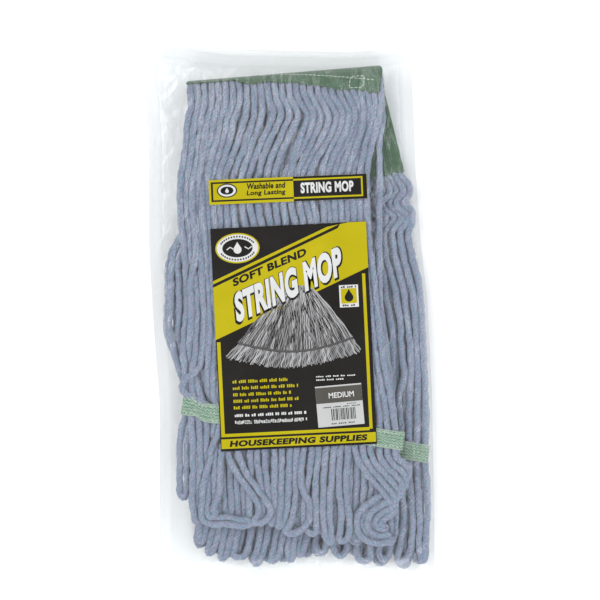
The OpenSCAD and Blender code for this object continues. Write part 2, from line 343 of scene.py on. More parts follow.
def spun_fibre():
    """Streaks and flecks of blended fibre that run along a strand or thread."""
    tree, inside, out = group(
        "Spun fibre",
        [("Along", "NodeSocketVector", None), ("Tone", "NodeSocketColor", (0.5, 0.5, 0.5, 1)),
        ("Shade", "NodeSocketColor", (0.3, 0.3, 0.3, 1)),
         ("Pale", "NodeSocketColor", (0.7, 0.7, 0.7, 1)), ("Fleck", "NodeSocketColor", (0.4, 0.3, 0.4, 1)),
         ("Fleck share", "NodeSocketFloat", 0.5)],
        [("Color", "NodeSocketColor"), ("Height", "NodeSocketFloat")],
    )
    if inside is None:
        return tree
    along = inside.outputs["Along"]
    streak = node(tree, "ShaderNodeMapping", {"Vector": along, "Scale": (9.0, 0.35, 1.0)})
    fine = node(tree, "ShaderNodeTexNoise",
        {"Vector": streak.outputs[0], "Scale": 1.0, "Detail": 4.0, "Roughness": 0.6})
    cloud_map = node(tree, "ShaderNodeMapping", {"Vector": along, "Scale": (1.2, 0.09, 1.0)})
    cloud = node(tree, "ShaderNodeTexNoise", {"Vector": cloud_map.outputs[0], "Scale": 1.0, "Detail": 2.0})
    dark = mix_colour(tree, ramp(tree, fine.outputs["Fac"], [(0.36, 1.0), (0.56, 0.0)]),
        inside.outputs["Tone"], inside.outputs["Shade"])
    light = mix_colour(tree, ramp(tree, fine.outputs["Fac"], [(0.52, 0.0), (0.74, 1.0)]), dark,
        inside.outputs["Pale"])
    cast = mix_colour(tree, ramp(tree, cloud.outputs["Fac"], [(0.35, 0.0), (0.7, 0.35)]), light,
        inside.outputs["Pale"])
    spot_map = node(tree, "ShaderNodeMapping",
        {"Vector": along, "Scale": (3.0, 0.3, 1.0), "Location": (4.0, 7.0, 0.0)})
    spots = node(tree, "ShaderNodeTexNoise", {"Vector": spot_map.outputs[0], "Scale": 1.0, "Detail": 3.0})
    amount = math_node(tree, "MULTIPLY", ramp(tree, spots.outputs["Fac"], [(0.6, 0.0), (0.72, 1.0)]),
        inside.outputs["Fleck share"])
    flecked = mix_colour(tree, amount, cast, inside.outputs["Fleck"])
    tree.links.new(flecked, out.inputs["Color"])
    tree.links.new(fine.outputs["Fac"], out.inputs["Height"])
    return tree


def plain_weave():
    """Over-and-under threads on a cloth's own coordinates: a thread mask and a height."""
    tree, inside, out = group(
        "Plain weave",
        [("Cloth", "NodeSocketVector", None), ("Threads", "NodeSocketFloat", 1.0),
        ("Slant", "NodeSocketFloat", 0.0)],
        [("Mask", "NodeSocketFloat"), ("Height", "NodeSocketFloat")],
    )
    if inside is None:
        return tree
    parts = node(tree, "ShaderNodeSeparateXYZ", {0: inside.outputs["Cloth"]})
    wander = node(tree, "ShaderNodeTexNoise",
        {"Vector": inside.outputs["Cloth"], "Scale": 0.25, "Detail": 2.0})
    shift = math_node(tree, "MULTIPLY", wander.outputs["Fac"], 1.4)
    across = math_node(tree, "ADD", math_node(tree, "ADD", parts.outputs[0], shift),
        math_node(tree, "MULTIPLY", parts.outputs[1], inside.outputs["Slant"]))
    down = math_node(tree, "ADD", parts.outputs[1], shift)
    turn = math_node(tree, "MULTIPLY", inside.outputs["Threads"], math.pi)
    warp = math_node(tree, "ABSOLUTE", math_node(tree, "SINE", math_node(tree, "MULTIPLY", across, turn)))
    weft = math_node(tree, "ABSOLUTE", math_node(tree, "SINE", math_node(tree, "MULTIPLY", down, turn)))
    height = math_node(tree, "MAXIMUM", warp, weft)
    mask = ramp(tree, height, [(0.55, 0.0), (0.85, 1.0)])
    tree.links.new(mask, out.inputs["Mask"])
    tree.links.new(height, out.inputs["Height"])
    return tree


def material(name):
    made = bpy.data.materials.get(name)
    if made:
        return made, None, None
    made = bpy.data.materials.new(name)
    made.use_nodes = True
    tree = made.node_tree
    return made, tree, tree.nodes["Principled BSDF"]


def yarn_material():
    made, tree, shader = material("Blended yarn")
    if tree is None:
        return made
    s = bpy.context.scene.mop_yarn
    uv = node(tree, "ShaderNodeUVMap", uv_map="cloth").outputs[0]
    fibre = node(tree, "ShaderNodeGroup", node_tree=spun_fibre())
    tree.links.new(uv, fibre.inputs["Along"])
    for label, value in (("Tone", s.tone), ("Shade", s.shade), ("Pale", s.pale), ("Fleck", s.fleck)):
        fibre.inputs[label].default_value = (*value, 1.0)
    fibre.inputs["Fleck share"].default_value = 0.45
    where = node(tree, "ShaderNodeTexCoord").outputs["Object"]
    patch = node(tree, "ShaderNodeTexNoise", {"Vector": where, "Scale": 330.0, "Detail": 3.0})
    cast = mix_colour(tree, ramp(tree, patch.outputs["Fac"], [(0.44, 0.0), (0.62, 0.55)]),
        fibre.outputs["Color"], tuple(s.fleck))
    cast = mix_colour(tree, ramp(tree, patch.outputs["Fac"], [(0.38, 0.5), (0.5, 0.0)]), cast, tuple(s.cool))
    # Painted shade in the ply grooves: a ramp darkens the base colour towards (0.76, 0.79, 0.84) where the
    # twisted plies meet, following the twist on the cloth uv, with noise to loosen its line.
    parts = node(tree, "ShaderNodeSeparateXYZ", {0: uv})
    loose = node(tree, "ShaderNodeTexNoise", {"Vector": where, "Scale": 700.0, "Detail": 3.0})
    wander = math_node(tree, "ADD", parts.outputs[0], math_node(tree, "MULTIPLY", loose.outputs["Fac"], 2.2))
    ply = math_node(tree, "DIVIDE", math_node(tree, "PINGPONG", wander, 2.0), 2.0)
    groove = ramp(tree, ply, [(0.45, (1.0, 1.0, 1.0)), (1.0, (0.76, 0.79, 0.84))])
    speck = node(tree, "ShaderNodeTexNoise",
        {"Vector": where, "Scale": 760.0, "Detail": 2.0, "Roughness": 0.6})
    mottled = mix_colour(tree, 1.0, cast,
        ramp(tree, speck.outputs["Fac"],
        [(0.34, (0.70, 0.72, 0.76)), (0.5, (0.98, 0.98, 0.98)), (0.66, (1.3, 1.27, 1.22))]), "MULTIPLY")
    # The painted groove shade is multiplied into the mottled fibre colour here.
    tree.links.new(mix_colour(tree, 1.0, mottled, groove, "MULTIPLY"), shader.inputs["Base Color"])
    fuzz = node(tree, "ShaderNodeTexNoise", {"Vector": where, "Scale": 1900.0, "Detail": 3.0})
    height = math_node(tree, "ADD", fibre.outputs["Height"],
        math_node(tree, "MULTIPLY", fuzz.outputs["Fac"], 0.7))
    bump = node(tree, "ShaderNodeBump", {"Height": height, "Strength": 0.8, "Distance": 0.0007})
    tree.links.new(bump.outputs[0], shader.inputs["Normal"])
    rough = ramp(tree, fuzz.outputs["Fac"], [(0.3, 0.86), (0.7, 0.98)])
    tree.links.new(rough, shader.inputs["Roughness"])
    shader.inputs["Sheen Weight"].default_value = 0.35
    shader.inputs["Sheen Roughness"].default_value = 0.6
    shader.inputs["Specular IOR Level"].default_value = 0.15
    return made


def band_material():
    made, tree, shader = material("Headband mesh cloth")
    if tree is None:
        return made
    s = bpy.context.scene.mop_band
    uv = node(tree, "ShaderNodeUVMap", uv_map="cloth").outputs[0]
    weave = node(tree, "ShaderNodeGroup", node_tree=plain_weave())
    tree.links.new(uv, weave.inputs["Cloth"])
    weave.inputs["Threads"].default_value = MM / s.weave
    fibre = node(tree, "ShaderNodeGroup", node_tree=spun_fibre())
    parts = node(tree, "ShaderNodeSeparateXYZ", {0: uv})
    lengthwise = node(tree, "ShaderNodeCombineXYZ",
        {0: math_node(tree, "MULTIPLY", parts.outputs[1], 0.16),
        1: math_node(tree, "MULTIPLY", parts.outputs[0], 0.6)})
    tree.links.new(lengthwise.outputs[0], fibre.inputs["Along"])
    c = tuple(s.cloth)
    fibre.inputs["Tone"].default_value = (*c, 1.0)
    fibre.inputs["Shade"].default_value = (c[0] * 0.7, c[1] * 0.75, c[2] * 0.7, 1.0)
    fibre.inputs["Pale"].default_value = (c[0] * 1.5, c[1] * 1.3, c[2] * 1.5, 1.0)
    fibre.inputs["Fleck"].default_value = (c[0] * 2.2, c[1] * 1.6, c[2] * 2.2, 1.0)
    fibre.inputs["Fleck share"].default_value = 0.5
    where = node(tree, "ShaderNodeTexCoord").outputs["Object"]
    rubbed = node(tree, "ShaderNodeTexNoise",
        {"Vector": where, "Scale": 230.0, "Detail": 4.0, "Roughness": 0.7})
    worn = mix_colour(tree, ramp(tree, rubbed.outputs["Fac"], [(0.52, 0.0), (0.7, 0.6)]),
        fibre.outputs["Color"], (0.12, 0.20, 0.12))
    worn = mix_colour(tree, ramp(tree, rubbed.outputs["Fac"], [(0.34, 0.6), (0.48, 0.0)]), worn,
        tuple(s.cloth_dark))
    tree.links.new(mix_colour(tree, weave.outputs["Mask"], tuple(s.cloth_dark), worn),
        shader.inputs["Base Color"])
    bump = node(tree, "ShaderNodeBump",
        {"Height": weave.outputs["Height"], "Strength": 0.8, "Distance": 0.0005})
    tree.links.new(bump.outputs[0], shader.inputs["Normal"])
    tree.links.new(ramp(tree, fibre.outputs["Height"], [(0.3, 0.62), (0.7, 0.85)]),
        shader.inputs["Roughness"])
    shader.inputs["Sheen Weight"].default_value = 0.2
    return made


def tape_material():
    made, tree, shader = material("Herringbone tape")
    if tree is None:
        return made
    s = bpy.context.scene.mop_band
    uv = node(tree, "ShaderNodeUVMap", uv_map="cloth").outputs[0]
    parts = node(tree, "ShaderNodeSeparateXYZ", {0: uv})
    wander = node(tree, "ShaderNodeTexNoise", {"Vector": uv, "Scale": 0.4, "Detail": 2.0})
    zig = math_node(tree, "PINGPONG", parts.outputs[0], 1.5)
    lean = math_node(tree, "ADD", parts.outputs[1],
        math_node(tree, "ADD", math_node(tree, "MULTIPLY", zig, 0.9),
        math_node(tree, "MULTIPLY", wander.outputs["Fac"], 4.0)))
    bar = math_node(tree, "SINE", math_node(tree, "MULTIPLY", lean, 2.45))
    knit = ramp(tree, math_node(tree, "ADD", math_node(tree, "MULTIPLY", bar, 0.5), 0.5),
        [(0.2, 0.0), (0.85, 1.0)])
    edge = math_node(tree, "PINGPONG", parts.outputs[1], 8.0)
    selvage = ramp(tree, math_node(tree, "DIVIDE", edge, 8.0), [(0.08, 1.0), (0.16, 0.0)])
    light = math_node(tree, "MAXIMUM", math_node(tree, "MULTIPLY", knit, 0.85),
        math_node(tree, "MULTIPLY", selvage, 0.95))
    fine = node(tree, "ShaderNodeTexNoise", {"Vector": uv, "Scale": 3.0, "Detail": 3.0})
    broken = math_node(tree, "MULTIPLY", light, ramp(tree, fine.outputs["Fac"], [(0.3, 0.35), (0.6, 1.0)]))
    tree.links.new(mix_colour(tree, broken, tuple(s.tape), tuple(s.tape_light)), shader.inputs["Base Color"])
    height = math_node(tree, "ADD", knit, math_node(tree, "MULTIPLY", fine.outputs["Fac"], 0.5))
    bump = node(tree, "ShaderNodeBump", {"Height": height, "Strength": 0.7, "Distance": 0.0004})
    tree.links.new(bump.outputs[0], shader.inputs["Normal"])
    tree.links.new(ramp(tree, fine.outputs["Fac"], [(0.3, 0.7), (0.7, 0.9)]), shader.inputs["Roughness"])
    shader.inputs["Sheen Weight"].default_value = 0.2
    return made


def thread_material():
    made, tree, shader = material("Sewing thread")
    if tree is None:
        return made
    s = bpy.context.scene.mop_band
    where = node(tree, "ShaderNodeTexCoord").outputs["Object"]
    twist = node(tree, "ShaderNodeTexNoise", {"Vector": where, "Scale": 2600.0, "Detail": 2.0})
    c = tuple(s.thread)
    tree.links.new(mix_colour(tree, twist.outputs["Fac"], tuple(x * 0.7 for x in c),
        tuple(min(1, x * 1.2) for x in c)), shader.inputs["Base Color"])
    bump = node(tree, "ShaderNodeBump", {"Height": twist.outputs["Fac"], "Strength": 0.5, "Distance": 0.0002})
    tree.links.new(bump.outputs[0], shader.inputs["Normal"])
    tree.links.new(ramp(tree, twist.outputs["Fac"], [(0.3, 0.5), (0.7, 0.75)]), shader.inputs["Roughness"])
    return made


def film_material():
    made, tree, shader = material("Clear film")
    if tree is None:
        return made
    s = bpy.context.scene.mop_bag
    where = node(tree, "ShaderNodeTexCoord").outputs["Object"]
    stretch = node(tree, "ShaderNodeMapping",
        {"Vector": where, "Scale": (1.0, 0.35, 1.0), "Rotation": (0.0, 0.0, 0.35)})
    crease = node(tree, "ShaderNodeTexNoise",
        {"Vector": stretch.outputs[0], "Scale": 55.0, "Detail": 5.0, "Roughness": 0.55, "Distortion": 1.2})
    ridge = math_node(tree, "ABSOLUTE", math_node(tree, "SUBTRACT", crease.outputs["Fac"], 0.5))
    sharp = math_node(tree, "POWER",
        math_node(tree, "SUBTRACT", 1.0, math_node(tree, "MULTIPLY", ridge, 4.0), clamp=True), 6.0)
    height = math_node(tree, "ADD", math_node(tree, "MULTIPLY", crease.outputs["Fac"], 1.2),
        math_node(tree, "MULTIPLY", sharp, 0.25))
    bump = node(tree, "ShaderNodeBump", {"Height": height, "Strength": 0.5, "Distance": 0.0016})
    tree.links.new(bump.outputs[0], shader.inputs["Normal"])
    tree.links.new(ramp(tree, crease.outputs["Fac"], [(0.3, s.roughness * 0.7), (0.7, s.roughness * 1.4)]),
        shader.inputs["Roughness"])
    cloud = node(tree, "ShaderNodeTexNoise", {"Vector": where, "Scale": 18.0, "Detail": 4.0})
    tree.links.new(mix_colour(tree, cloud.outputs["Fac"], (0.93, 0.95, 0.96), (1.0, 1.0, 1.0)),
        shader.inputs["Base Color"])
    gloss = node(tree, "ShaderNodeFresnel", {"IOR": 1.5, "Normal": bump.outputs[0]})
    haze = math_node(tree, "MULTIPLY", cloud.outputs["Fac"], s.haze)
    share = math_node(tree, "ADD",
        math_node(tree, "ADD", math_node(tree, "MULTIPLY", gloss.outputs[0], 0.42), haze),
        math_node(tree, "MULTIPLY", sharp, 0.02), clamp=True)
    shader.inputs["Metallic"].default_value = 0.8
    ray = node(tree, "ShaderNodeLightPath")
    unseen = math_node(tree, "MAXIMUM", ray.outputs["Is Shadow Ray"], ray.outputs["Is Diffuse Ray"])
    share = math_node(tree, "MULTIPLY", math_node(tree, "MINIMUM", share, 0.11),
        math_node(tree, "SUBTRACT", 1.0, unseen))
    clear = node(tree, "ShaderNodeBsdfTransparent", {"Color": (*s.tint, 1.0)})
    mixed = node(tree, "ShaderNodeMixShader", {0: share, 1: clear.outputs[0], 2: shader.outputs[0]})
    tree.links.new(mixed.outputs[0], tree.nodes["Material Output"].inputs["Surface"])
    return made


def ink_material(name, shade, gloss=0.22, depth=0.06):
    """Glossy printing on film, with thin uneven ink."""
    made, tree, shader = material(name)
    if tree is None:
        return made
    where = node(tree, "ShaderNodeTexCoord").outputs["Object"]
    uneven = node(tree, "ShaderNodeTexNoise",
        {"Vector": where, "Scale": 30.0, "Detail": 4.0, "Distortion": 0.6})
    c = tuple(shade)
    tree.links.new(mix_colour(tree, uneven.outputs["Fac"], tuple(x * 0.86 for x in c),
        tuple(min(1.0, x * 1.1 + depth * 0.08) for x in c)), shader.inputs["Base Color"])
    stretch = node(tree, "ShaderNodeMapping",
        {"Vector": where, "Scale": (1.0, 0.4, 1.0), "Rotation": (0.0, 0.0, -0.4)})
    dents = node(tree, "ShaderNodeTexNoise", {"Vector": stretch.outputs[0], "Scale": 60.0, "Detail": 3.0})
    bump = node(tree, "ShaderNodeBump",
        {"Height": dents.outputs["Fac"], "Strength": 0.35, "Distance": 0.0012})
    tree.links.new(bump.outputs[0], shader.inputs["Normal"])
    tree.links.new(ramp(tree, uneven.outputs["Fac"], [(0.3, gloss * 0.8), (0.7, gloss * 1.4)]),
        shader.inputs["Roughness"])
    shader.inputs["Specular IOR Level"].default_value = 0.14
    return made


# ---- How the strands lie ----

# Centre lines of the front half's top course: X at these heights, for five shares from its left side
# to its right.
FRONT_Y = [165, 142, 113, 84, 42, 1, -41, -74, -107, -140]
FRONT_X = [
    [-82.5, -84, -86.5, -87.5, -85.5, -82.5, -84, -86, -86, -82.5],
    [-45, -52, -62, -61, -55, -53, -53, -55, -50, -44],
    [6, -3, -15, -14, -7, -3, -1, 1, 3, 3],
    [49, 43, 28, 31, 34, 38, 43, 47, 49, 49],
    [75, 66.5, 63.5, 64, 68, 73, 78, 85, 90, 91.5],
]
FRONT_END = [(-78, -176), (-40, -179), (1, -181), (43, -196), (86, -197)]
# Centre lines of the two sides under it and of the back half: (share of the way down to the tail
# tape, distance outwards).
UNDER_L = [(0, 0), (0.04, 2), (0.25, 5), (0.34, 5), (0.4, 9), (0.48, 19), (0.62, 20), (0.73, 19.5),
    (0.79, 17), (0.9, 6), (1, 1)]
UNDER_R = [(0, -1), (0.05, -6), (0.12, -12), (0.2, -15.5), (0.27, -16.5), (0.44, -14), (0.61, -8), (0.8, -3),
    (1, 0)]
BACK_L = [(0, 0), (0.18, 13), (0.33, 23), (0.65, 23), (0.85, 12), (1, 0)]
BACK_R = [(0, 0), (0.1, 5), (0.16, 4), (0.23, -3), (0.31, 6), (0.43, 9), (0.6, 9), (0.8, 6), (1, 0)]
BACK_END = [(-77, -196), (-63, -207), (-50, -210), (-31, -213), (-15, -211), (3, -208), (21, -204),
    (44, -207), (72, -211), (96, -215), (116, -212)]

COURSES = ("front_top", "front_middle", "front_inner", "back_inner", "back_middle", "back_bottom")
NODES_PER_CHAIN = 216


def through(points, count):
    """A smooth line through the given points, as count points the same distance apart."""
    p = np.asarray(points, float)
    q = np.concatenate([[2 * p[0] - p[1]], p, [2 * p[-1] - p[-2]]])
    t = np.linspace(0, 1, 9)[:-1, None]
    parts = []
    for i in range(1, len(q) - 2):
        a, b, c, d = q[i - 1], q[i], q[i + 1], q[i + 2]
        parts.append(0.5 * (2 * b + (c - a) * t + (2 * a - 5 * b + 4 * c - d) * t**2
            + (3 * b - a - 3 * c + d) * t**3))
    line = np.concatenate(parts + [p[-1:]])
    return evened(line, count)


def evened(line, count):
    step = np.linalg.norm(np.diff(line, axis=0), axis=1)
    run = np.concatenate([[0], np.cumsum(step)])
    at = np.linspace(0, run[-1], count)
    return np.stack([np.interp(at, run, line[:, k]) for k in range(3)], 1)


def fold_part(x, radius, way, depth_end):
    """The sewn part of a strand: from past the crest round to the front (way 1) or back (-1), to a depth."""
    points = []
    for degrees in (-24, -12, 0, 15, 30, 45, 60, 75, 90):
        a = math.radians(degrees)
        px, py = in_plan(x, -FOLD_R + radius * math.cos(a))
        points.append((px, py, MID_Z + way * radius * math.sin(a)))
    if way > 0:
        for depth in np.arange(FOLD_R + 5, depth_end + 0.1, 5):
            px, py = in_plan(x, -depth)
            points.append((px, py, MID_Z + radius))
    else:
        bx, by = back_flap(x, depth_end)
        for t in np.linspace(0.1, 1, 10):
            px, py = in_plan(x + (bx - x) * t, -FOLD_R + (by + FOLD_R) * t)
            points.append((px, py, MID_Z - radius))
    return points


def side_x(a, b, bulge, t, way):
    keys = np.array(bulge)
    return a[0] + (b[0] - a[0]) * t + way * np.interp(t, keys[:, 0], keys[:, 1])


def free_part(course, share):
    """The free part of a strand from the band to where its loop begins, in plan."""
    level = COURSES.index(course)
    if course == "front_top":
        ys = FRONT_Y
        xs = [np.interp(share, [0, 0.25, 0.5, 0.75, 1], [row[k] for row in FRONT_X]) for k in range(len(ys))]
        ends = np.array(FRONT_END)
        end = [np.interp(share, [0, 0.25, 0.5, 0.75, 1], ends[:, k]) for k in (0, 1)]
        slot = tail_point(FRONT_TAIL, (share * 2 - 1) * (TAIL_L / 2 - 7))
        body = [(x, y) for x, y in zip(xs, ys)]
        return body, slot, end
    if course in ("front_middle", "front_inner"):
        inset = 2 if course == "front_middle" else 0
        a, b = in_plan(3.5, -38), in_plan(BAND_L - 3.5, -38)
        la, lb = tail_point(FRONT_TAIL, -(TAIL_L / 2 - 6)), tail_point(FRONT_TAIL, TAIL_L / 2 - 6)
        bulges, ends = (UNDER_L, UNDER_R), np.array(FRONT_END)
        end = [np.interp(share, [0, 0.25, 0.5, 0.75, 1], ends[:, k]) for k in (0, 1)]
    else:
        inset = {"back_inner": 0, "back_middle": 3, "back_bottom": 7}[course]
        a, b = in_plan(*back_flap(3.5, -9)), in_plan(*back_flap(BAND_L - 3.5, -9))
        la, lb = tail_point(BACK_TAIL, -(TAIL_L / 2 - 6)), tail_point(BACK_TAIL, TAIL_L / 2 - 3 - inset)
        bulges, ends = (BACK_L, BACK_R), np.array(BACK_END)
        end = [np.interp(share, np.linspace(0, 1, len(ends)), ends[:, k]) for k in (0, 1)]
    body = []
    for t in np.linspace(0, 0.94, 11):
        left = side_x(a, la, bulges[0], t, -1) + inset * min(1, t * 5)
        right = side_x(b, lb, bulges[1], t, 1) - inset * min(1, t * 5)
        y = (a[1] + (la[1] - a[1]) * t) * (1 - share) + (b[1] + (lb[1] - b[1]) * t) * share
        body.append((left * (1 - share) + right * share, y))
    slot = (la[0] * (1 - share) + lb[0] * share, la[1] * (1 - share) + lb[1] * share)
    return body, slot, (end[0], end[1] + (3 if level in (1, 2) else 0))


def course_height(course):
    name = "yarn_" + course.split("_")[1]
    node_name = course.split("_")[0] + "_" + name
    return (low(node_name)[2] + high(node_name)[2]) / 2


# Strands that leave their place in a course: {(course, strand): [(Y, sideways, up), ...]}.
STRAYS = {
    ("front_top", 2): [(75, 0, 0), (50, 3, 2), (22, -9, 2.4), (-20, -8, 1.5), (-55, -3, 0)],
    ("front_top", 3): [(-20, 0, 0), (-45, 0, 2), (-52, -8, 2.2), (-60, -17, 1.5), (-78, -12, 0)],
    ("front_top", 8): [(70, 0, 0), (30, -7, 2), (-10, -5, 1.5), (-50, 0, 0)],
    ("front_top", 6): [(-108, 0, 0), (-125, 5, 1.5), (-140, -4, 2), (-165, 3, 0)],
    ("front_top", 10): [(-108, 0, 0), (-130, 6, 2), (-150, 8, 1.5), (-168, -2, 0)],
    ("front_top", 15): [(160, 0, 0), (140, 6, 2), (115, 9, 1.5), (90, 0, 0)],
    ("front_top", 19): [(150, 0, 0), (128, -7, 2), (100, -4, 1), (70, 0, 0)],
    ("back_inner", 24): [(-40, 0, 0), (-55, 5, 2), (-72, -4, 2), (-95, 0, 0)],
    ("back_inner", 20): [(40, 0, 0), (10, 9, 2), (-30, 7, 1.5), (-70, 0, 0)],
}


def lay_strands(settings):
    """Guide lines of every strand pair and which points are held: arrays of chains, points and XYZ."""
    rng = np.random.default_rng(settings.seed)
    count = settings.strands
    guides, held = [], []
    for course in COURSES:
        level = COURSES.index(course)
        way = 1 if level < 3 else -1
        radius = SEWN_RADII[level if level < 3 else 5 - level]
        z = course_height(course)
        lines = []
        for i in range(count):
            share = i / (count - 1)
            x = 3.9 + (BAND_L - 7.8) * share
            sewn = fold_part(x, radius, way, 24.5 if way > 0 else -1.0)
            body, slot, end = free_part(course, share)
            body = through([(bx, by, 0) for bx, by in body], 44)[:, :2]
            waves = rng.uniform(0, 2 * math.pi, 4)
            free = []
            for bx, by in body:
                together = 1.2 * math.sin(by / 17 + 7 * share + level) + 1.4 * math.sin(by / 29 - 11 * share
                    + 2 * level) + 1.2 * math.sin(by / 9.5 + 19 * share)
                own = math.sin(by / 11 + waves[0]) * 0.5 + math.sin(by / 19
                    + waves[1]) * 0.8 + 0.45 * math.sin(by / 3.6 + waves[3]) + 0.5 * math.sin(by / 5.3 + 23
                    * share + waves[3] * 0.3)
                lift = 0.9 * math.sin(by / 15 + waves[2])
                free.append([bx + (together * 0.55 + own) * settings.waviness / MM * 0.5
                    * math.sin(math.pi * min(1, max(0.12, share))) ** 0.35 , by, z + lift])
            if course == "front_middle" and i == count - 1:
                free = [[78, 160, z + 4], [76, 148, z + 2], [75.5, 130, z - 1], [76.5, 112, z - 3],
                    [76, 90, z - 3], [75.5, 60, z], [76, 20, z]] + [p for p in free if p[1] < -5]
            curl = course == "back_inner" and share > 0.8
            if curl:
                for p in free:
                    p[0] += 8.5 * math.sin((109 - p[1]) / 4.0) * smooth_step((112 - p[1])
                        / 8) * smooth_step((p[1] - 62) / 14)
            stray = STRAYS.get((course, i))
            if stray:
                keys = np.array(stray[::-1], float)
                for p in free:
                    if keys[0, 0] < p[1] < keys[-1, 0]:
                        p[0] += np.interp(p[1], keys[:, 0], keys[:, 1])
                        p[2] += np.interp(p[1], keys[:, 0], keys[:, 2])
            tail = [[slot[0], slot[1], z]]
            ex, ey = end
            ey += rng.uniform(-6, 5) if course == "front_top" else rng.uniform(-5, 3)
            drop = slot[1] - ey
            for t in (0.2, 0.4, 0.6, 0.8):
                swing = settings.waviness / MM * t * (1.3 * math.sin(t * 6 + waves[3]) + 1.9
                    * math.sin(t * 4 + 13 * share + 2 * level))
                tail.append([slot[0] * (1 - t) + ex * t + swing, slot[1] - drop * t,
                    z + 0.4 * math.sin(t * 9 + waves[2])])
            keep = [p for p in free if p[1] > slot[1] + 9]
            lines.append((sewn, keep + tail, (ex, ey)))
        for k in range(count // 2):
            (sewn_a, free_a, end_a), (sewn_b, free_b, end_b) = lines[2 * k], lines[2 * k + 1]
            ex, ey = (end_a[0] + end_b[0]) / 2, (end_a[1] + end_b[1]) / 2
            ex += rng.uniform(-6, 6) * (0.4 if k in (0, count // 2 - 1) else 1)
            if course == "front_middle" and k == 0:
                free_a = [p for p in free_a if p[1] > -90] + [[-90.5, -100, z], [-91, -125, z],
                    [-91, -146, z]]
                free_b = [p for p in free_b if p[1] > -90] + [[-85, -100, z], [-84.5, -125, z],
                    [-85, -146, z]]
                ex, ey = -88, -157.5
            if course == "front_top" and k in (2, 3):
                dx = 9 * (k - 2)
                free_a = [p for p in free_a if p[1] > -95] + [[-66 + dx, -120, z + 1],
                    [-70 + dx, -150, z + 1], [-72 + dx, -167, z + 1.5]]
                free_b = [p for p in free_b if p[1] > -95] + [[-52 + dx, -118, z + 1],
                    [-38 + dx, -142, z + 2], [-25 + dx, -160, z + 2.5], [-22 + dx, -171, z + 2],
                    [-34 + dx, -177 + k, z + 2], [-50 + dx, -178 + k, z + 1.5]]
                ex, ey = -64 + dx, -177.5 + k
            if course == "front_top" and k == 7:
                free_b = [p for p in free_b if p[1] > -125] + [[8, -140, z + 1], [18, -160, z + 2],
                    [16, -178, z + 2], [6, -186, z + 2]]
                ex, ey = -6, -184
            if course == "front_top" and k >= count // 2 - 3:
                ring = count // 2 - 1 - k
                shrink = 1 - 0.3 * ring
                centre = np.array([81.0, -176.0])
                for legs, more in ((free_a, -0.09), (free_b, 0.06)):
                    path = [(99, -130), (99, -141), (93, -150), (83, -156), (71, -160), (62, -167),
                        (58, -176), (61, -185), (70, -191), (80, -192)]
                    kept = [p for p in legs if p[1] > -125]
                    legs[:] = kept + [[*(centre + (np.array(p) - centre) * (shrink + more)), z + 0.5 * ring]
                        for p in path]
                ex, ey = centre + (np.array([90, -187]) - centre) * shrink
            apex = [[ex, ey, z]]
            near_a, near_b = free_a[-1], free_b[-1]
            middle = [[near_a[0] * 0.5 + ex * 0.5 - (near_b[0] - near_a[0]) * 0.3,
                ey * 0.8 + near_a[1] * 0.2, z],
                      *apex,
                      [near_b[0] * 0.5 + ex * 0.5 + (near_b[0] - near_a[0]) * 0.3,
                      ey * 0.8 + near_b[1] * 0.2, z]]
            if course == "front_top" and k >= count // 2 - 3:
                middle = apex
            points = sewn_a + free_a + middle + free_b[::-1] + sewn_b[::-1]
            line = through(points, NODES_PER_CHAIN)
            fixed = np.zeros(NODES_PER_CHAIN)
            for sewn, order in ((sewn_a, 1), (sewn_b, -1)):
                run = np.sum(np.linalg.norm(np.diff(np.array(sewn), axis=0), axis=1))
                step = np.linalg.norm(line[1] - line[0])
                n = int(run / step)
                if order > 0:
                    fixed[:n] = 1
                else:
                    fixed[-n:] = 1
            guides.append(line)
            held.append(fixed)
    return np.array(guides), np.array(held)


def near_pairs(points, reach, chain_of, place):
    """Pairs of points nearer than reach that aren't neighbours on one chain."""
    cell = np.floor(points / reach).astype(np.int64)
    cell -= cell.min(0) - 1
    span = cell.max(0) + 2
    key = (cell[:, 0] * span[1] + cell[:, 1]) * span[2] + cell[:, 2]
    order = np.argsort(key, kind="stable")
    ranked = key[order]
    found_a, found_b = [], []
    everyone = np.arange(len(points))
    for dx in (-1, 0, 1):
        for dy in (-1, 0, 1):
            for dz in (-1, 0, 1):
                if (dx, dy, dz) < (0, 0, 0):
                    continue
                target = key + (dx * span[1] + dy) * span[2] + dz
                first = np.searchsorted(ranked, target, "left")
                number = np.searchsorted(ranked, target, "right") - first
                total = int(number.sum())
                if not total:
                    continue
                a = np.repeat(everyone, number)
                rank = np.arange(total) - np.repeat(np.cumsum(number) - number, number)
                b = order[rank + np.repeat(first, number)]
                keep = a < b if (dx, dy, dz) == (0, 0, 0) else a != b
                a, b = a[keep], b[keep]
                d = points[a] - points[b]
                close = np.einsum("ij,ij->i", d, d) < reach * reach
                a, b = a[close], b[close]
                apart = (chain_of[a] != chain_of[b]) | (np.abs(place[a] - place[b]) > 3)
                found_a.append(a[apart])
                found_b.append(b[apart])
    return np.concatenate(found_a), np.concatenate(found_b)


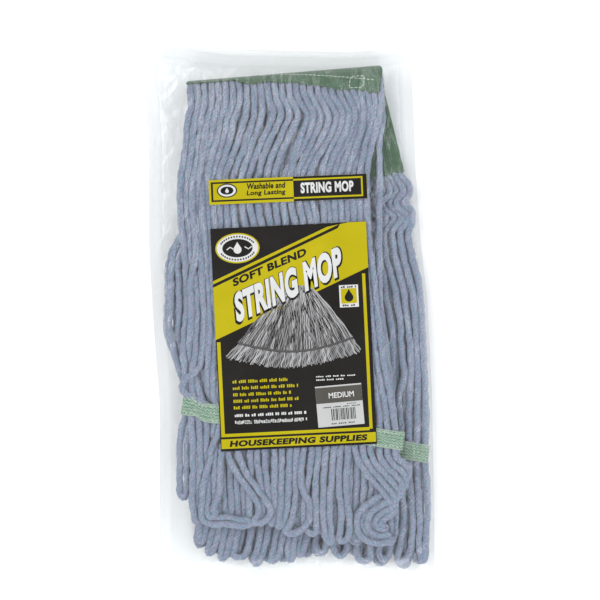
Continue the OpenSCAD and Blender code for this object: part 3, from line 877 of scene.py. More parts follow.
def relax(settings, rounds=110):
    """Lets the strands press each other aside until they lie beside and over each other."""
    guides, held = lay_strands(settings)
    chains, count = held.shape
    p = guides.copy()
    free = (1 - held)[:, :, None]
    rest = np.linalg.norm(np.diff(guides, axis=1), axis=2).mean(1)[:, None, None]
    chain_of = np.repeat(np.arange(chains), count)
    place = np.tile(np.arange(count), chains)
    per_half = chains // 2
    front = (np.arange(chains) < per_half)[:, None]
    floor_z = np.where(front, low("front_yarn_inner")[2] + 2.4, low("back_yarn_bottom")[2] + 2.5)
    roof_z = np.where(front, high("front_yarn_top")[2] - 1.6, high("back_yarn_inner")[2] - 2.2)
    tape = np.zeros((chains, count))
    for half, middle in ((slice(0, per_half), FRONT_TAIL), (slice(per_half, chains), BACK_TAIL)):
        x, y = guides[half, :, 0] - middle[0], guides[half, :, 1] - middle[1]
        c, s = math.cos(math.radians(TAIL_TURN)), math.sin(math.radians(TAIL_TURN))
        across = -s * x + c * y
        tape[half] = np.clip(1.3 - np.abs(across) / 8, 0, 1)
    turn = np.zeros((chains, count))
    turn[:, 1:-1] = np.linalg.norm(guides[:, 2:] + guides[:, :-2] - 2 * guides[:, 1:-1], axis=2)
    turn = np.maximum.reduce([np.roll(turn, k, axis=1) for k in (-1, 0, 1)])
    pull = (0.02 + 0.5 * tape + 0.12 * np.clip(turn / 1.4 - 0.25, 0, 1))[:, :, None] * free
    contact = settings.radius / MM * 2 - PRESSED_IN
    a = b = None
    for step in range(rounds):
        if step % 6 == 0:
            a, b = near_pairs(p.reshape(-1, 3), contact + 1.6, chain_of, place)
        p += (guides - p) * pull
        for _ in range(2):
            d = p[:, 1:] - p[:, :-1]
            size = np.linalg.norm(d, axis=2, keepdims=True)
            move = d * ((size - rest) / np.maximum(size, 1e-6)) * 0.48
            p[:, :-1] += move * free[:, :-1]
            p[:, 1:] -= move * free[:, 1:]
        bend = (p[:, 2:] + p[:, :-2]) / 2 - p[:, 1:-1]
        p[:, 1:-1] += bend * 0.12 * free[:, 1:-1]
        flat = p.reshape(-1, 3)
        d = flat[a] - flat[b]
        size = np.sqrt(np.einsum("ij,ij->i", d, d))
        touch = size < contact
        ta, tb, d, size = a[touch], b[touch], d[touch], size[touch]
        push = d * ((contact - size) / np.maximum(size, 1e-3))[:, None] * 0.5
        total = np.zeros_like(flat)
        for k in range(3):
            total[:, k] = np.bincount(ta, push[:, k], len(flat)) - np.bincount(tb, push[:, k], len(flat))
        hits = np.bincount(ta, minlength=len(flat)) + np.bincount(tb, minlength=len(flat))
        hits = np.maximum(hits, 1.0)
        flat += total / np.sqrt(hits)[:, None] * 0.7 * free.reshape(-1, 1)
        p = flat.reshape(chains, count, 3)
        z = p[:, :, 2]
        p[:, :, 2] = np.where(held > 0, z, np.clip(z, floor_z, roof_z))
        bag_side = BAG_W / 2 + table_at(p[:, :, 1], BAG_R_SIDE) - settings.radius / MM - BAG_CLEAR
        p[:, :, 0] = np.where(held > 0, p[:, :, 0], np.minimum(p[:, :, 0], bag_side))
    for _ in range(2):
        bend = (p[:, 2:] + p[:, :-2]) / 2 - p[:, 1:-1]
        p[:, 1:-1] += bend * 0.5
    return p


laid = {}


def laid_strands():
    """The chains of every course, worked out once."""
    settings = bpy.context.scene.mop_yarn
    key = (settings.radius, settings.strands, settings.waviness, settings.seed)
    if laid.get("key") != key:
        laid["lines"] = relax(settings, 110)
        laid["key"] = key
    return laid["lines"]


def strand_piece(name, lines, sides, spacing, settings, seed):
    """Four-ply twisted strands along the given lines, as one piece."""
    run = np.linalg.norm(np.diff(lines, axis=1), axis=2).sum(1).mean()
    rings = int(run / spacing)
    fine = []
    for line in lines:
        t = np.linspace(0, len(line) - 1, rings)
        i = np.clip(t.astype(int), 0, len(line) - 2)
        f = (t - i)[:, None]
        a = line[np.maximum(i - 1, 0)]
        b, c = line[i], line[i + 1]
        d = line[np.minimum(i + 2, len(line) - 1)]
        fine.append(0.5 * (2 * b + (c - a) * f + (2 * a - 5 * b + 4 * c - d) * f**2
            + (3 * b - a - 3 * c + d) * f**3))
    path = np.array(fine)
    tangent = np.gradient(path, axis=1)
    tangent /= np.linalg.norm(tangent, axis=2, keepdims=True)
    side = np.zeros_like(path)
    start = np.array([*turned(FOLD_TURN, 1.0, 0.0), 0.0])
    current = np.tile(start, (len(path), 1))
    for m in range(rings):
        t = tangent[:, m]
        current = current - np.einsum("ij,ij->i", current, t)[:, None] * t
        current /= np.linalg.norm(current, axis=1, keepdims=True)
        side[:, m] = current
    other = np.cross(tangent, side)
    step = np.linalg.norm(np.diff(path, axis=1), axis=2)
    along = np.concatenate([np.zeros((len(path), 1)), np.cumsum(step, axis=1)], axis=1)
    rng = np.random.default_rng(seed)
    phase = along * (2 * math.pi / (settings.twist / MM)) + rng.uniform(0, 6, (len(path), 1))
    for length_a, way in ((1.6, side), (2.1, other), (3.4, side)):
        path = path + (0.24 * np.sin(along / length_a + rng.uniform(0, 6, (len(path), 1)) + 1.5
            * np.sin(along / 14)))[:, :, None] * way
    angle = 2 * math.pi * np.arange(sides) / sides
    ply = np.abs(np.cos(2 * angle))
    swell = 1 + 0.045 * np.sin(along / 9 + rng.uniform(0, 6, (len(path), 1))) + 0.03 * np.sin(along / 2.7
        + rng.uniform(0, 6, (len(path), 1)))
    radius = settings.radius / MM * swell[:, :, None] * (1 - settings.groove * (1 - ply) ** 1.5)[None, None,
        :]
    radius = radius * (1 + rng.normal(0, 0.03, radius.shape))
    around = angle[None, None, :] + phase[:, :, None]
    points = path[:, :, None, :] + radius[...,
        None] * (np.cos(around)[..., None] * side[:, :, None, :] + np.sin(around)[..., None]
        * other[:, :, None, :])
    n = len(path)
    index = np.arange(n * rings * sides).reshape(n, rings, sides)
    nxt = np.roll(index, -1, axis=2)
    quads = np.stack([index[:, :-1], nxt[:, :-1], nxt[:, 1:], index[:, 1:]], 3).reshape(-1, 4)
    u0 = np.broadcast_to(np.arange(sides)[None, None, :], (n, rings - 1, sides)) / sides * 16
    offset = rng.uniform(0, 900, (n, 1))
    v = along + offset
    v0 = np.broadcast_to(v[:, :-1, None], (n, rings - 1, sides))
    v1 = np.broadcast_to(v[:, 1:, None], (n, rings - 1, sides))
    du = 16 / sides
    uv = np.stack([np.stack([u0, v0], 3), np.stack([u0 + du, v0], 3), np.stack([u0 + du, v1], 3),
        np.stack([u0, v1], 3)], 3).reshape(-1, 2)
    caps = [index[k, 0, ::-1] for k in range(n)] + [index[k, -1, :] for k in range(n)]
    return mesh_piece(name, points, quads, uv, caps)


class AddFrontYarn(bpy.types.Operator):
    """Lays the three courses of the front half with their loops and the yarn round the fold"""

    bl_idname = "mop.add_front_yarn"
    bl_label = "Front yarn"

    def execute(self, context):
        make_courses(0, (("yarn_front_top", 16, 2.7,
            ("front_yarn_top", "front_loops_top", "fold_yarn_outer")),
                         ("yarn_front_middle", 12, 3.0,
                         ("front_yarn_middle", "front_loops_middle", "fold_yarn_middle")),
                         ("yarn_front_inner", 8, 3.2,
                         ("front_yarn_inner", "front_loops_inner", "fold_yarn_inner"))))
        return {"FINISHED"}


class AddBackYarn(bpy.types.Operator):
    """Lays the three courses of the back half with their loops"""

    bl_idname = "mop.add_back_yarn"
    bl_label = "Back yarn"

    def execute(self, context):
        make_courses(3, (("yarn_back_inner", 12, 2.8, ("back_yarn_inner", "back_loops_inner")),
                         ("yarn_back_middle", 8, 3.2, ("back_yarn_middle", "back_loops_middle")),
                         ("yarn_back_bottom", 12, 2.8, ("back_yarn_bottom", "back_loops_bottom"))))
        return {"FINISHED"}


def make_courses(first, rows):
    settings = bpy.context.scene.mop_yarn
    lines = laid_strands()
    per = settings.strands // 2
    for k, (name, sides, spacing, nodes) in enumerate(rows):
        chosen = lines[(first + k) * per:(first + k + 1) * per]
        piece = strand_piece(name, chosen, sides, spacing, settings, settings.seed + first + k)
        dress(piece, yarn_material())
        settle(piece, "mop", "yarn", *nodes)


# ---- Headband ----


def band_point(x, w, lift, radius=FOLD_R):
    """A point of the cloth: x along the fold, w from the crest (front positive), lift off its surface."""
    quarter = radius * math.pi / 2
    r = radius + lift
    a = np.clip(w / radius, -math.pi / 2, math.pi / 2)
    y = -FOLD_R + r * np.cos(a)
    z = r * np.sin(a)
    over = np.maximum(w - quarter, 0)
    under = np.maximum(-w - quarter, 0)
    y = y - over
    foot_x, foot_y = back_flap(x, 0)
    reach = np.hypot(foot_x - x, foot_y + FOLD_R)
    t = under / reach
    px = x + (foot_x - x) * t
    py = y + (foot_y + FOLD_R) * t
    depth = np.maximum(-py, 0)
    lean = np.clip((x - FRONT_BARE) / (BAND_L - FRONT_BARE), 0, 1) * np.where(w > 0, 1,
        0) * (radius == FOLD_R)
    px = px - lean * depth * (BAND_L - FRONT_CORNER[0]) / -FRONT_CORNER[1]
    round_r = 6.0
    near = np.clip(round_r - np.maximum(-py, 0), 0, round_r)
    inset = round_r - np.sqrt(round_r**2 - near**2)
    px = px - inset * smooth_step((x - BAND_L + 20) / 20) * 0.9 + inset * smooth_step((14 - x) / 14) * 0.5
    wx, wy = in_plan(px, py)
    return np.stack([wx, wy, MID_Z + z], -1)


def front_reach(x):
    """How far the cloth comes over the crest to the front, at x along the fold."""
    share = np.clip((x - FRONT_BARE) / (BAND_L - FRONT_BARE), 0, 1)
    depth = -FRONT_CORNER[1] * share
    on_curve = FOLD_R * np.arccos(np.clip(1 - depth / FOLD_R, -1, 1))
    flat = FOLD_R * math.pi / 2 + depth - FOLD_R
    return np.where(depth < FOLD_R, on_curve, flat) + 1.2 + 9.5 * smooth_step(1 - share * 3.5)


def back_reach(x, radius=FOLD_R):
    foot_x, foot_y = back_flap(x, 0)
    return radius * math.pi / 2 + np.hypot(foot_x - x, foot_y + FOLD_R)


def rib(x, strands=28):
    """Ribs that the strands press into the cloth over them."""
    pitch = (BAND_L - 7.8) / (strands - 1)
    return np.cos(2 * math.pi * (x - 3.9) / pitch)


class AddHeadband(bpy.types.Operator):
    """Makes the headband's woven mesh, the lining tape in the fold and the sewn rows"""

    bl_idname = "mop.add_headband"
    bl_label = "Headband"

    def execute(self, context):
        s = context.scene.mop_band
        rng = np.random.default_rng(3)
        x = np.linspace(0, BAND_L, 190)[:, None]
        t = np.linspace(0, 1, 150)[None, :]
        scallop = 0.9 * rib(x) + 0.7 * np.sin(x / 9.0) + 0.5 * np.sin(x / 4.1 + 1)
        front = front_reach(x) + scallop * smooth_step((x - 30) / 30)
        w = front * (1 - t) - (back_reach(x) + 0.4 * rib(x)) * t
        edge = 1 - 0.6 * smooth_step((w - front + 3) / 3)
        height = s.rib / MM * rib(x + 0.6 * np.sin(w / 15)) * smooth_step((np.abs(w) - 4) / 12) * edge
        rows = band_rows()
        for row in rows:
            from_foot = back_reach(x) + w
            height = height - 0.5 * np.exp(-((from_foot - row) / 1.6) ** 2)
        height = height + 0.25 * np.sin(x / 7.3 + w / 11) * smooth_step((-w - 20) / 20)
        top = band_point(x + 0 * w, w, height)
        cloth = sheet_piece("headband_cloth", top, CLOTH_T, x, w)
        dress(cloth, band_material())
        settle(cloth, "mop", "headband", "headband_mesh")

        run = FACING_R * math.pi / 2 + FACING_DEPTH - FOLD_R
        x = np.linspace(0.4, BAND_L - 0.4, 170)[:, None]
        t = np.linspace(0, 1, 110)[None, :]
        w = run * (1 - t) - (back_reach(x, FACING_R) + 0.6 * rib(x) + 1.8) * t
        height = 0.15 * np.sin(x / 8 + w / 9) - 0.15 + (1.35 + 0.22 * rib(x)) * smooth_step((-w - 14) / 12)
        top = band_point(x + 0 * w, w, -height, FACING_R)
        facing = sheet_piece("headband_facing", top[:, ::-1], FACING_T, x, (w + 40)[:, ::-1])
        dress(facing, band_material())
        settle(facing, "mop", "headband", "headband_lining")

        lines = []
        for row in rows:
            xs = np.linspace(4, BAND_L - 4, 120)
            lines.append(band_point(xs, -(back_reach(xs) - row), 0.1))
        xs = np.linspace(62, BAND_L - 6, 90)
        on_top = s.rib / MM * 0.6 + 0.15
        lines.append(band_point(xs, front_reach(xs) - 10.5, on_top))
        box = [np.interp(np.linspace(0, 4, 60), range(5), side) for side in zip(*STITCHED_BOX)]
        lines.append(band_point(*box, on_top))
        stitches = stitch_piece("headband_stitches", lines, s.stitch / MM, rng)
        settle(stitches, "mop", "thread", "headband_stitching")
        return {"FINISHED"}


def band_rows():
    """Distances of the back's sewn rows from the band's lower edge."""
    step = (BAND_BACK - FOLD_R - 8) / 4
    return [4 + i * step for i in range(4)]


def one_stitch():
    """A single stitch of unit length along X, modelled once: a bead pressed a little flat."""
    bpy.ops.object.select_all(action="DESELECT")
    bpy.ops.mesh.primitive_uv_sphere_add(segments=8, ring_count=6, radius=0.5, location=(0, 0, 0))
    bead = bpy.context.object
    bpy.ops.object.mode_set(mode="EDIT")
    bpy.ops.mesh.select_all(action="SELECT")
    bpy.ops.transform.rotate(value=math.pi / 2, orient_axis="Y", center_override=(0, 0, 0))
    bpy.ops.transform.resize(value=(1.0, 1.0, 0.8), center_override=(0, 0, 0))
    bpy.ops.object.mode_set(mode="OBJECT")
    points = np.array([v.co for v in bead.data.vertices])
    faces = [list(f.vertices) for f in bead.data.polygons]
    bpy.data.objects.remove(bead)
    return points, faces


def stitch_piece(name, lines, pitch, rng):
    """Stitches along lines, each a copy of the one stitch, laid on the cloth."""
    shape, faces = one_stitch()
    points, all_faces = [], []
    for line in lines:
        run = np.linalg.norm(np.diff(line, axis=0), axis=1).sum()
        line = evened(line, max(2, int(run / pitch)) + 1)
        for a, b in zip(line[:-1], line[1:]):
            along = b - a
            size = np.linalg.norm(along)
            along = along / size
            centre = (a + b) / 2 + rng.normal(0, 0.05, 3)
            up = np.array([0.0, 0.0, 1.0])
            side = np.cross(up, along)
            side /= np.linalg.norm(side)
            up = np.cross(along, side)
            at = len(points) * len(shape)
            moved = centre + shape[:, :1] * size * 0.84 * along + shape[:, 1:2] * 0.75 * side
            points.append(moved + shape[:, 2:] * 0.75 * up)
            all_faces += [[at + i for i in f] for f in faces]
    data = bpy.data.meshes.new(name)
    data.from_pydata((np.concatenate(points) * MM).tolist(), [], all_faces)
    data.polygons.foreach_set("use_smooth", np.ones(len(data.polygons), bool))
    piece = bpy.data.objects.new(name, data)
    bpy.context.scene.collection.objects.link(piece)
    dress(piece, thread_material())
    return piece


# ---- Tail tapes ----


def tape_shape(x, kink):
    """Sideways shift and width share of a tail tape along its length, with the twist at its left end."""
    shift = kink * (1.2 - 3.2 * smooth_step((x + 84) / 9) + 2.0 * smooth_step((x + 70) / 22))
    narrow = 1 - kink * 0.22 * np.exp(-((x + 79) / 4.5) ** 2) - 0.06 * smooth_step((x - 30) / 60)
    return shift, narrow


def tape_surface(middle, z, side, x, y, kink, droop):
    shift, narrow = tape_shape(x, kink)
    pitch = (TAIL_L - 14) / 27
    wave = 0.32 * np.cos(2 * math.pi * (x + TAIL_L / 2 - 7) / pitch) + 0.22 * np.sin(x / 9 + y / 5)
    edge = 0.35 * np.cos(y / 8 * math.pi / 2)
    fold = kink * 0.9 * np.exp(-((x + 79 - y * 0.4) / 3.0) ** 2)
    ends = droop * smooth_step((np.abs(x) - TAIL_L / 2 + 7) / 7)
    px, py = tail_point(middle, x, y * narrow + shift)
    return np.stack([px, py, z + side * (wave + edge + fold - ends)], -1)


class AddTailTapes(bpy.types.Operator):
    """Makes the two tail tapes of each half and the rows that sew them through the yarn"""

    bl_idname = "mop.add_tail_tapes"
    bl_label = "Tail tapes"

    def execute(self, context):
        s = context.scene.mop_band
        rng = np.random.default_rng(5)
        rows = (
            ("front_tail_tape_top", FRONT_TAIL, "front_tail_tape_outer", 1, 1.0, 0, 2.2),
            ("front_tail_tape_under", FRONT_TAIL, "front_tail_tape_inner", -1, 0.0, 0, 0.0),
            ("back_tail_tape_top", BACK_TAIL, "back_tail_tape_inner", 1, 0.0, 0, 0.0),
            ("back_tail_tape_under", BACK_TAIL, "back_tail_tape_outer", -1, 0.3, 10, 0.0),
        )
        for name, middle, cad, side, kink, cut, droop in rows:
            x = np.linspace(-TAIL_L / 2, TAIL_L / 2 - cut, 230)[:, None]
            y = np.linspace(-TAPE_W / 2, TAPE_W / 2, 21)[None, :]
            z = high(cad)[2] if side > 0 else low(cad)[2]
            top = tape_surface(middle, z, side, x, y, kink, droop)
            piece = sheet_piece(name, top[:, ::side], TAPE_T, x, (y + TAPE_W / 2)[:, ::side])
            dress(piece, tape_material())
            settle(piece, "mop", "tail_tape", cad)
            if cad in ("front_tail_tape_outer", "back_tail_tape_outer"):
                xs = np.linspace(-TAIL_L / 2 + 3, TAIL_L / 2 - cut - 3, 150)
                on_top = z + side * 0.1
                rows_at = [np.full_like(xs, e) for e in (-6, 6)]
                lines = [tape_surface(middle, on_top, side, xs, ys, kink, droop) for ys in rows_at]
                half = cad.split("_")[0]
                sewn = stitch_piece(half + "_tail_stitches", lines, s.stitch / MM, rng)
                settle(sewn, "mop", "thread", half + "_tail_stitching")
        return {"FINISHED"}


# ---- Bag ----

BAG_L_SIDE = [(-224, 9), (-76, 9), (-13, 4), (54, 0), (143, 0), (197, -5), (224, 2)]
BAG_R_SIDE = [(-224, 5), (-180, 5), (-72, 3), (9, -1), (54, -6.5), (112, -10.5), (197, -14), (224, -11)]
BAG_MOUTH = [(0, -3), (0.3, -5), (0.5, 2), (0.7, 1), (1, 2)]
BAG_END = [(0, 4), (0.1, 4.5), (0.2, 0), (0.3, -3), (0.6, -5), (0.75, -6), (0.9, -3), (1, 2)]


def table_at(value, rows):
    keys = np.array(rows, float)
    return np.interp(value, keys[:, 0], keys[:, 1])


def bag_plan(u, v):
    y = -BAG_L / 2 + BAG_L * v
    left, right = -BAG_W / 2 + table_at(y, BAG_L_SIDE), BAG_W / 2 + table_at(y, BAG_R_SIDE)
    mouth, end = -BAG_L / 2 + table_at(u, BAG_MOUTH), BAG_L / 2 + table_at(u, BAG_END)
    return left * (1 - u) + right * u, mouth * (1 - v) + end * v


def bag_rise(u, v, width):
    """How far a film has risen from the seam, 0 to 1, within width of the sides and 15 mm of the end."""
    across = np.minimum(u, 1 - u) * 225 - 0.5
    along = (1 - v) * 446 - 4
    ease = lambda t: np.sin(np.clip(t, 0, 1) * math.pi / 2)
    return ease(across / width) * ease(along / 15)


def wrinkles(x, y):
    """Creases of the film, from 0 to about 1, mostly across its ends and along its sides."""
    total = np.zeros_like(x)
    for kx, ky, shift, size in CREASES:
        bend = 1.3 * np.sin(x * ky * 0.7 + y * kx * 0.6 + shift)
        total += size * (1 - np.abs(np.sin(x * kx + y * ky + shift + bend))) ** 2.2
    return total


def label_cover(x, y):
    """1 under the printed panels, where the film lies flat, and 0 away from them."""
    covers = []
    for cx, cy, w, h in ((4.2, -21, 72, 99), (-0.5, 101, 72, 17)):
        covers.append(smooth_step((w - np.abs(x - cx)) / 8 + 1) * smooth_step((h - np.abs(y - cy)) / 8 + 1))
    return np.maximum(*covers)


class AddBag(bpy.types.Operator):
    """Makes the bag's two clear films"""

    bl_idname = "mop.add_bag"
    bl_label = "Bag"

    def execute(self, context):
        s = context.scene.mop_bag
        seam = MID_Z - SEAM_DROP
        inside = high("bag_front_film")[2] - FILM_T
        u = np.linspace(0, 1, 150)
        u = (0.55 * u + 0.45 * (0.5 - 0.5 * np.cos(u * math.pi)))[:, None]
        v = np.linspace(0, 1, 260)
        v = (v + 0.03 * np.sin(v * math.pi))[None, :]
        v = np.clip(v / v.max(), 0, 1)
        x, y = bag_plan(u, v)
        crease = wrinkles(x, y)
        open_area = 1 - label_cover(x, y)
        rise = bag_rise(u, v, 14 - 8 * smooth_step((u - 0.7) / 0.15) * smooth_step((125 - y) / 20))
        sag = 2.2 * smooth_step((y - 196) / 22) + 2.0 * smooth_step((-y - 205) / 16)
        z = seam + 0.1 + (inside - seam - 0.1 - sag) * rise
        z = z + rise * open_area * 0.45
        deeper = 0.55 + 0.9 * smooth_step((np.abs(x) - 84) / 20) + 1.2 * smooth_step((y - 185) / 25)
        z = z + rise * open_area * (crease * deeper) * s.wrinkle / MM
        front = sheet_piece("bag_film_front", np.stack([x, y, z + FILM_T], -1), FILM_T, x, y)
        dress(front, film_material())
        settle(front, "bag", "film", "bag_front_film")
        rise = bag_rise(u, v, 4.5)
        z = (seam - FILM_T) * (1 - rise) + 0.02
        z = z + rise * 0.35 * crease * s.wrinkle / MM * smooth_step((np.abs(x) - 60) / 40)
        back = sheet_piece("bag_film_back", np.stack([x, y, z], -1)[:, ::-1], FILM_T, x, y[:, ::-1])
        dress(back, film_material())
        settle(back, "bag", "film", "bag_back_film")
        return {"FINISHED"}


# ---- Printing ----

MAIN = ((4.2, -21.1), 2.8)
HEADER = ((-0.5, 101.0), 2.4)
STICKER = ((42.5, -78.3), 5.0)
BADGE = (-43, 75.4)
HEADER_BADGE = (-50.6, 1.0)
PANEL_SLOPE = 0.42
INK_T = 0.02
INK_GAP = 0.02
INK_STEP = INK_T + INK_GAP


def place_on(panel, x, y):
    (cx, cy), turn = panel
    a, b = turned(turn, x, y)
    return cx + a, cy + b


def print_piece(name, panel, outlines, z, material_made, slot):
    """Flat printed shapes on a panel, as one thin closed piece; each outline is a list of points."""
    made = bmesh.new()
    for outline in outlines:
        corners = []
        for x, y in outline:
            px, py = place_on(panel, x, y)
            corners.append(made.verts.new((px * MM, py * MM, z * MM)))
        face = made.faces.new(corners)
        face.normal_update()
        if face.normal.z < 0:
            face.normal_flip()
    flat = list(made.faces)
    raised = bmesh.ops.extrude_face_region(made, geom=flat)
    tops = [g for g in raised["geom"] if isinstance(g, bmesh.types.BMVert)]
    bmesh.ops.translate(made, verts=tops, vec=(0, 0, INK_T * MM))
    bmesh.ops.recalc_face_normals(made, faces=list(made.faces))
    bmesh.ops.triangulate(made, faces=[f for f in made.faces if len(f.verts) > 4])
    data = bpy.data.meshes.new(name)
    made.to_mesh(data)
    made.free()
    piece = bpy.data.objects.new(name, data)
    bpy.context.scene.collection.objects.link(piece)
    dress(piece, material_made)
    return settle(piece, "bag", slot)


def word_piece(name, panel, words, corner, size, z, material_made, slot, bold=0.0, rise=0.0, outline=0.0,
               lean=0.0):
    """Raised words in a box (width, height) with its lower left at corner, each letter stepped up by rise."""
    bpy.ops.object.select_all(action="DESELECT")
    bpy.ops.object.text_add(location=(0, 0, 0))
    text = bpy.context.object
    text.data.body = words
    text.data.size = 1.0
    text.data.offset = bold
    text.data.space_character = 1 + 1.6 * bold
    text.data.extrude = 0.001
    text.data.resolution_u = 4
    bpy.ops.object.convert(target="MESH")
    text = bpy.context.object
    text.name = name
    co = np.array([v.co for v in text.data.vertices])
    lo, hi = co.min(0), co.max(0)
    width, height = size
    x = (co[:, 0] - lo[0]) / (hi[0] - lo[0]) * (width + 2 * outline) - outline
    y = (co[:, 1] - lo[1]) / (hi[1] - lo[1]) * (height + 2 * outline) - outline
    x, y = x - lean * y, y + rise * x
    up = (co[:, 2] - lo[2]) / (hi[2] - lo[2]) * INK_T
    px, py = place_on(panel, corner[0] + x, corner[1] + y)
    points = np.stack([px, py, z + up], 1) * MM
    text.data.vertices.foreach_set("co", points.astype(np.float32).ravel())
    made = bmesh.new()
    made.from_mesh(text.data)
    bmesh.ops.remove_doubles(made, verts=made.verts, dist=1e-7)
    bmesh.ops.recalc_face_normals(made, faces=list(made.faces))
    made.to_mesh(text.data)
    made.free()
    text.data.update()
    dress(text, material_made)
    return settle(text, "bag", slot)


def rect(x0, y0, x1, y1):
    return [(x0, y0), (x1, y0), (x1, y1), (x0, y1)]


def ellipse(cx, cy, rx, ry, n=48):
    return [(cx + rx * math.cos(2 * math.pi * i / n), cy + ry * math.sin(2 * math.pi * i / n))
        for i in range(n)]


def drop(cx, cy, r, n=24):
    """A water drop with its point up."""
    made = []
    for i in range(n):
        a = 2 * math.pi * i / n
        pull = max(0.0, math.sin(a)) ** 4
        made.append((cx + r * math.cos(a) * (1 - 0.75 * pull), cy + r * math.sin(a) + r * 0.9 * pull))
    return made


def thick_line(points, width):
    """An outline round a line of the given width."""
    p = np.array(points, float)
    d = np.gradient(p, axis=0)
    d /= np.linalg.norm(d, axis=1, keepdims=True)
    n = np.stack([-d[:, 1], d[:, 0]], 1) * width / 2
    return [tuple(q) for q in p - n] + [tuple(q) for q in (p + n)[::-1]]


def worn_words(x0, y0, x1, height, rng):
    """A line of small print too fine to read: short blocks in the rhythm of words."""
    made = []
    x = x0
    while x < x1 - 1:
        run = min(rng.uniform(3.0, 8.5), x1 - x)
        n = max(1, int(run / 1.35))
        for i in range(n):
            a = x + run * i / n
            top = height * rng.choice([1.0, 1.0, 0.75])
            made.append(rect(a, y0, a + run / n * 0.93 * 0.78, y0 + top))
        x += run + 1.5
    return made


def low_line(x):
    """The slanting lower edge of the main panel's title field."""
    return 27.2 + PANEL_SLOPE * x


def high_line(x):
    """The slanting upper edge of the main panel's title field."""
    return 75.0 + PANEL_SLOPE * x


def inks(s):
    """The yellow, white and black inks, each with its slot."""
    return (
        (ink_material("Yellow ink", s.yellow), "yellow_print"),
        (ink_material("White ink", s.white), "sticker"),
        (ink_material("Black ink", s.black), "black_print"),
    )


